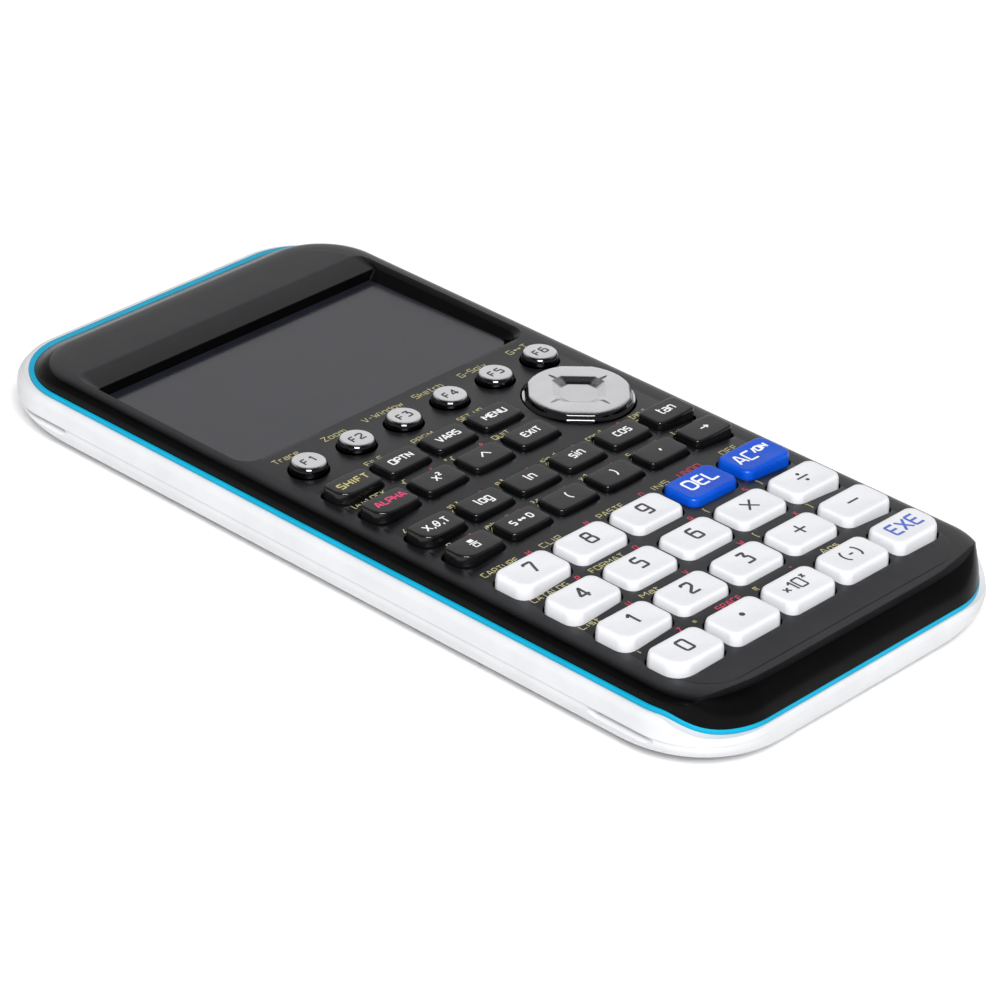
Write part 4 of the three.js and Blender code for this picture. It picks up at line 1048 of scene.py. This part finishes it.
def legends():
    pos = {k["name"]: k for k in KEYS}

    def key(name, strokes, width, corner, mat, tag="legend"):
        print_on(f"{name}_{tag}", tree_of(CAPS[name]), strokes, width, corner, mat, name)

    # number keys
    H = 3.25
    for name, ch in (("key_0", "0"), ("key_1", "1"), ("key_2", "2"), ("key_3", "3"), ("key_4", "4"), ("key_5", "5"), ("key_6", "6"), ("key_7", "7"), ("key_8", "8"), ("key_9", "9")):
        k = pos[name]
        key(name, line(ch, H, k["x"] + 0.15, k["y"] + 0.45 - H / 2), 0.60, 0.5, "ink_dark")
    for name, ch in (("key_plus", "+"), ("key_minus", "_"), ("key_multiply", "*")):
        k = pos[name]
        hh = 3.7 if ch != "*" else 3.9
        key(name, line(ch, hh, k["x"] + 0.1, k["y"] + 0.35 - hh / 2), 0.48, 0.1, "ink_dark")
    k = pos["key_divide"]
    key("key_divide", line("_", 3.7, k["x"] + 0.1, k["y"] + 0.35 - 1.85) + [dot(k["x"] + 0.1, k["y"] + 1.6, 0.36), dot(k["x"] + 0.1, k["y"] - 0.9, 0.36)], 0.48, 0.1, "ink_dark")
    k = pos["key_point"]
    key("key_point", [dot(k["x"] + 0.1, k["y"] + 0.3, 0.60)], 0.62, 0.1, "ink_dark")
    k = pos["key_exponent"]
    key("key_exponent", line("*", 1.75, k["x"] - 3.1, k["y"] - 0.85) + line("10", 2.9, k["x"] + 0.0, k["y"] - 1.1, gap=0.16) + line("x", 1.6, k["x"] + 2.75, k["y"] + 1.0), 0.44, 0.38, "ink_dark")
    k = pos["key_negative"]
    key("key_negative", line("(-)", 2.7, k["x"] + 0.1, k["y"] - 0.95, gap=0.34), 0.46, 0.5, "ink_dark")
    k = pos["key_execute"]
    key("key_execute", line("EXE", 3.2, k["x"] + 0.1, k["y"] - 1.25, fit=7.8), 0.58, 0.3, "ink_blue")
    k = pos["key_delete"]
    key("key_delete", line("DEL", 3.0, k["x"] + 0.25, k["y"] - 0.98, fit=7.5), 0.54, 0.5, "ink_white")
    k = pos["key_all_clear"]
    key("key_all_clear", line("AC", 2.9, k["x"] - 2.35, k["y"] - 1.1, fit=4.9) + line("/ON", 1.5, k["x"] + 2.55, k["y"] + 0.3, fit=3.6), 0.46, 0.3, "ink_white")
    # function keys
    FH = 1.6
    words = {"key_options": "OPTN", "key_variables": "VARS", "key_menu": "MENU", "key_exit": "EXIT", "key_log": "log", "key_ln": "ln", "key_sin": "sin", "key_cos": "cos", "key_tan": "tan"}
    for name, w in words.items():
        k = pos[name]
        low = w.islower()
        h = 2.15 if low else FH
        key(name, line(w, h, k["x"] + 0.05, k["y"] - (0.78 if not low else 0.72), gap=0.24 if not low else 0.22, wide=1.12 if not low else 1.0), 0.34, 0.28, "ink_white")
    k = pos["key_shift"]
    key("key_shift", line("SHIFT", FH, k["x"] + 0.15, k["y"] - 0.75, fit=7.4, gap=0.3), 0.34, 0.28, "ink_yellow")
    k = pos["key_alpha"]
    key("key_alpha", line("ALPHA", FH, k["x"] + 0.3, k["y"] - 0.55, fit=7.4, gap=0.22), 0.34, 0.28, "ink_pink")
    k = pos["key_square"]
    key("key_square", line("x", 2.3, k["x"] - 0.5, k["y"] - 0.9, wide=1.2) + line("2", 1.0, k["x"] + 0.95, k["y"] + 0.35), 0.32, 0.2, "ink_white")
    k = pos["key_power"]
    key("key_power", line("^", 2.6, k["x"] + 0.05, k["y"] - 1.2), 0.33, 0.05, "ink_white")
    k = pos["key_x_theta_t"]
    key("key_x_theta_t", line("X,@,T", 1.8, k["x"] + 0.05, k["y"] - 0.85, fit=5.9, gap=0.22), 0.31, 0.3, "ink_white")
    k = pos["key_open_bracket"]
    key("key_open_bracket", line("(", 2.0, k["x"] + 0.05, k["y"] - 0.9), 0.33, 0.4, "ink_white")
    k = pos["key_close_bracket"]
    key("key_close_bracket", line(")", 2.0, k["x"] + 0.05, k["y"] - 0.9), 0.33, 0.4, "ink_white")
    k = pos["key_comma"]
    key("key_comma", line(",", 2.6, k["x"] + 0.05, k["y"] + 0.0), 0.42, 0.1, "ink_white")
    k = pos["key_store"]
    key("key_store", line(">", 2.0, k["x"] + 0.05, k["y"] - 0.95), 0.32, 0.05, "ink_white")
    k = pos["key_convert"]
    key("key_convert", line("S", 1.5, k["x"] - 2.25, k["y"] - 0.7) + line("~", 1.9, k["x"] + 0.0, k["y"] - 0.9) + line("D", 1.5, k["x"] + 2.2, k["y"] - 0.7), 0.32, 0.28, "ink_white")
    k = pos["key_fraction"]
    bars = [([(k["x"] - 0.62, k["y"] + 0.72 + i * 0.22), (k["x"] + 0.62, k["y"] + 0.72 + i * 0.22)], False, "#") for i in range(4)]
    key("key_fraction", bars + [([(k["x"] - 1.0, k["y"] + 0.22), (k["x"] + 1.0, k["y"] + 0.22)], False, "-"), (O_(k["x"] - 0.62, k["y"] - 1.2, k["x"] + 0.62, k["y"] - 0.22)[:-1], True, "o")], 0.27, 0.05, "ink_white")
    # round function keys
    for i in range(6):
        k = pos[f"key_f{i + 1}"]
        key(k["name"], line("F", 1.75, k["x"] - 1.0, k["y"] - 0.85, wide=1.1) + line(str(i + 1), 1.85, k["x"] + 0.98, k["y"] - 0.9, wide=1.1), 0.36, 0.3, "ink_engraved")

    # small printing on the face, above the keys
    face = tree_of(FRONT)
    small, red = [], []
    SH = 1.3

    def yel(text, x0, x1, y, h=SH):
        small.extend(line(text, h, (x0 + x1) / 2, y, fit=x1 - x0, gap=0.26))

    for t, a, b in (("Trace", -34.9, -28.6), ("Zoom", -21.9, -16.0), ("V-Window", -10.9, -0.5), ("Sketch", 2.9, 10.6), ("G-Solv", 15.7, 22.9), ("G~T", 29.6, 34.8)):
        yel(t, a, b, 21.85, 1.45)
    for t, a, b in (("FILE", -22.6, -18.2), ("PRGM", -10.0, -4.4), ("SET UP", 2.6, 9.2)):
        yel(t, a, b, 9.55)
    for t, a, b in (("[A]-LOCK", -35.6, -27.0), ("$", -22.6, -21.4), ("QUIT", 2.3, 6.6)):
        yel(t, a, b, 0.1)
    small.extend(line("x", 0.8, -10.3, 1.0) + line("$", 1.3, -9.0, 0.1))
    yy = -12.45
    small.extend(line("<", 1.3, -34.9, yy) + line("10", SH, -22.3, yy, wide=0.9) + line("x", 0.9, -20.3, yy + 0.9))
    small.extend(line("e", 1.6, -9.6, yy) + line("x", 0.9, -8.2, yy + 0.9))
    for t, x in (("sin", 3.6), ("cos", 16.4), ("tan", 28.9)):
        small.extend(line(t, 1.6, x, yy, gap=0.2) + line("-1", 0.8, x + 2.7, yy + 0.8))
    yy = -22.0
    small.extend([([(-34.2, yy + 0.0), (-33.5, yy + 0.0)], False, "-"), ([(-34.2, yy + 0.35), (-33.5, yy + 0.35)], False, "-"), (O_(-32.9, yy + 0.75, -32.0, yy + 1.4)[:-1], True, "o"), ([(-33.1, yy + 0.45), (-31.8, yy + 0.45)], False, "-"), (O_(-32.9, yy - 0.5, -32.0, yy + 0.15)[:-1], True, "o")])
    small.extend(line("ab/c", 1.2, -21.9, yy, gap=0.16) + line("~", 1.2, -19.2, yy) + line("d/c", 1.2, -17.0, yy, gap=0.16))
    small.extend(line("3", 0.7, -10.0, yy + 0.8) + line("$", 1.3, -9.0, yy) + line("x", 1.7, 3.1, yy) + line("-1", 0.8, 4.5, yy + 0.9))
    small.extend(line("S", 1.3, 16.4, yy) + line(">", 1.2, 17.7, yy) + line("L", 1.3, 29.2, yy) + line(">", 1.2, 30.5, yy))
    for row, y in enumerate((-33.65, -45.85, -58.05, -70.35)):
        items = ((("CAPTURE", -36.2, -26.9), ("CLIP", -20.7, -15.5), ("PASTE", -5.2, 1.6), ("INS", 10.0, 14.2), ("OFF", 29.6, 34.0)),
                 (("CATALOG", -36.2, -26.8), ("FORMAT", -20.7, -11.9), ("{", 10.9, 11.4), ("}", 26.3, 26.8)),
                 (("List", -36.7, -31.9), ("Mat", -20.6, -16.1), ("[", 10.9, 11.4), ("]", 26.3, 26.8)),
                 (("i", -35.1, -34.9), ("=", -20.5, -19.6), ("#", -4.0, -3.0), ("Ans", 15.2, 19.6)))[row]
        for t, a, b in items:
            if len(t) == 1:
                small.extend(line(t, 1.35, (a + b) / 2, y))
            else:
                yel(t, a, b, y)
    letters = (("M", "N", "O", None, None), ("P", "Q", "R", "S", "T"), ("U", "V", "W", "X", "Y"), ("Z", None, '"', None, None))
    xs = (-24.0, -8.4, 6.95, 22.5, 37.8)
    for row, y in enumerate((-33.65, -45.85, -58.05, -70.35)):
        for t, x in zip(letters[row], xs):
            if t and abs(x) < 37.5:
                red.extend(line(t, SH, x, y))
    red.extend(line("UNDO", SH, 20.3, -33.65, fit=6.0, gap=0.26) + line("SPACE", SH, -10.7, -70.35, fit=6.4, gap=0.26))
    for t, x in zip("ABCDEF", (-26.9, -14.1, -1.4, 11.4, 24.2, 36.9)):
        if x < 36:
            red.extend(line(t, 1.15, x, -12.5))
    for t, x in zip("GHIJKL", (-26.9, -14.1, -1.4, 11.4, 24.2, 36.9)):
        if x < 36:
            red.extend(line(t, 1.15, x, -22.0))
    red.extend(line("r", 1.3, -14.6, 0.1) + line("@", 1.15, -1.1, 0.1))
    print_on("face_printing_yellow", face, small, 0.18, 0.08, "ink_yellow_dim", "case")
    print_on("face_printing_red", face, red, 0.19, 0.12, "ink_red_dim", "case")


FRONT = build_front()
build_band()
REAR_OBJ = build_rear()
build_door()
build_window()
build_keys()
legends()

# CAD nodes that stay as they are get their own finish
for node, mat in (("display_module", "display_glass"), ("keypad_membrane", "membrane_rubber"), ("key_contact_sheet", "contact_film"), ("circuit_board", "board"),
                  ("battery_cell_1", "cell"), ("battery_cell_2", "cell"), ("battery_cell_3", "cell"), ("battery_cell_4", "cell")):
    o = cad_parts[node]
    for s in o.material_slots:
        s.material = MAT[mat]
    if not o.material_slots:
        o.data.materials.append(MAT[mat])

# ------------------------------------------------------------------ stage
def build_stage():
    n, r = 48, 6.0
    verts = [(0.0, 0.0, -0.00002)] + [(r * math.cos(2 * math.pi * i / n), r * math.sin(2 * math.pi * i / n), -0.00002) for i in range(n)]
    faces = [(0, 1 + i, 1 + (i + 1) % n) for i in range(n)]
    floor = mesh_object("floor", verts, faces, 1.0)
    floor.data.materials.append(plastic("floor_paper", (0.95, 0.95, 0.95), (0.96, 0.96, 0.96), (0.8, 0.9), 0.0, blotch=3.0, specular=0.1))


build_stage()

world = bpy.data.worlds.new("studio")
bpy.context.scene.world = world
world.use_nodes = True
wn = world.node_tree
bg = wn.nodes["Background"]
tcw = wn.nodes.new("ShaderNodeTexCoord").outputs["Generated"]


def lobe(direction, lo, hi):
    d = wn.nodes.new("ShaderNodeVectorMath")
    d.operation = "DOT_PRODUCT"
    wn.links.new(tcw, d.inputs[0])
    d.inputs[1].default_value = Vector(direction).normalized()
    mr = wn.nodes.new("ShaderNodeMapRange")
    mr.interpolation_type = "SMOOTHSTEP"
    mr.inputs["From Min"].default_value, mr.inputs["From Max"].default_value = lo, hi
    wn.links.new(d.outputs["Value"], mr.inputs["Value"])
    return mr.outputs["Result"]


back = lobe((0.70, 0.64, 0.32), 0.72, 0.97)
mixw = wn.nodes.new("ShaderNodeMapRange")
mixw.inputs["To Min"].default_value, mixw.inputs["To Max"].default_value = 0.018, 0.75
# a dimmer band of soft light all round, so that the plated keys read from every side
sepw = wn.nodes.new("ShaderNodeSeparateXYZ")
wn.links.new(tcw, sepw.inputs["Vector"])


def height_step(z0, z1, a, b):
    mr = wn.nodes.new("ShaderNodeMapRange")
    mr.interpolation_type = "SMOOTHSTEP"
    for key, v in (("From Min", z0), ("From Max", z1), ("To Min", a), ("To Max", b)):
        mr.inputs[key].default_value = v
    wn.links.new(sepw.outputs["Z"], mr.inputs["Value"])
    return mr.outputs["Result"]


def maths(op, a, b):
    n = wn.nodes.new("ShaderNodeMath")
    n.operation = op
    wn.links.new(a, n.inputs[0])
    wn.links.new(b, n.inputs[1])
    return n.outputs["Value"]


band_light = maths("MULTIPLY", height_step(-0.02, 0.06, 0.0, 0.45), height_step(0.55, 0.80, 1.0, 0.0))
wn.links.new(maths("MAXIMUM", back, band_light), mixw.inputs["Value"])
wn.links.new(mixw.outputs["Result"], bg.inputs["Strength"])
bg.inputs["Color"].default_value = (1.0, 1.0, 1.01, 1.0)


def area(name, direction, dist, size, size_y, power, color=(1, 1, 1)):
    d = bpy.data.lights.new(name, "AREA")
    d.shape, d.size, d.size_y, d.energy, d.color = "RECTANGLE", size, size_y, power, color
    o = bpy.data.objects.new(name, d)
    v = Vector(direction).normalized()
    o.location = v * dist
    o.rotation_euler = (-v).to_track_quat("-Z", "Y").to_euler()
    bpy.context.scene.collection.objects.link(o)
    return o


area("key_light", (-0.50, -0.52, 0.70), 9.0, 4.0, 2.7, 1170.0)

# ------------------------------------------------------------------ camera
R0 = (0.6862326600370489, -0.7266001759076606, 0.03371825424651542)
R1 = (-0.34215408055546703, -0.36335763317140757, -0.8665459108294928)
R2 = (0.6418841962984592, 0.5831152671530984, -0.4979570902751075)
cam_data = bpy.data.cameras.new("camera")
cam = bpy.data.objects.new("camera", cam_data)
bpy.context.scene.collection.objects.link(cam)
m = Matrix(((R0[0], -R1[0], -R2[0]), (R0[1], -R1[1], -R2[1]), (R0[2], -R1[2], -R2[2])))
cam.rotation_mode = "QUATERNION"
cam.rotation_quaternion = m.to_quaternion()
cam.location = (-0.5489454469513075, -0.5013048129436986, 0.4305762133671251)
cam_data.sensor_width = 36.0
cam_data.lens = 4470.471342953937 * 36.0 / 1000.0
cam_data.shift_x = (500.0 - 495.92623167653227) / 1000.0
cam_data.shift_y = (499.8502692841947 - 500.0) / 1000.0
cam_data.clip_start, cam_data.clip_end = 0.01, 50.0
bpy.context.scene.camera = cam

scene = bpy.context.scene
scene.view_settings.view_transform = "Standard"
scene.view_settings.look = "None"

bpy.context.view_layer.update()
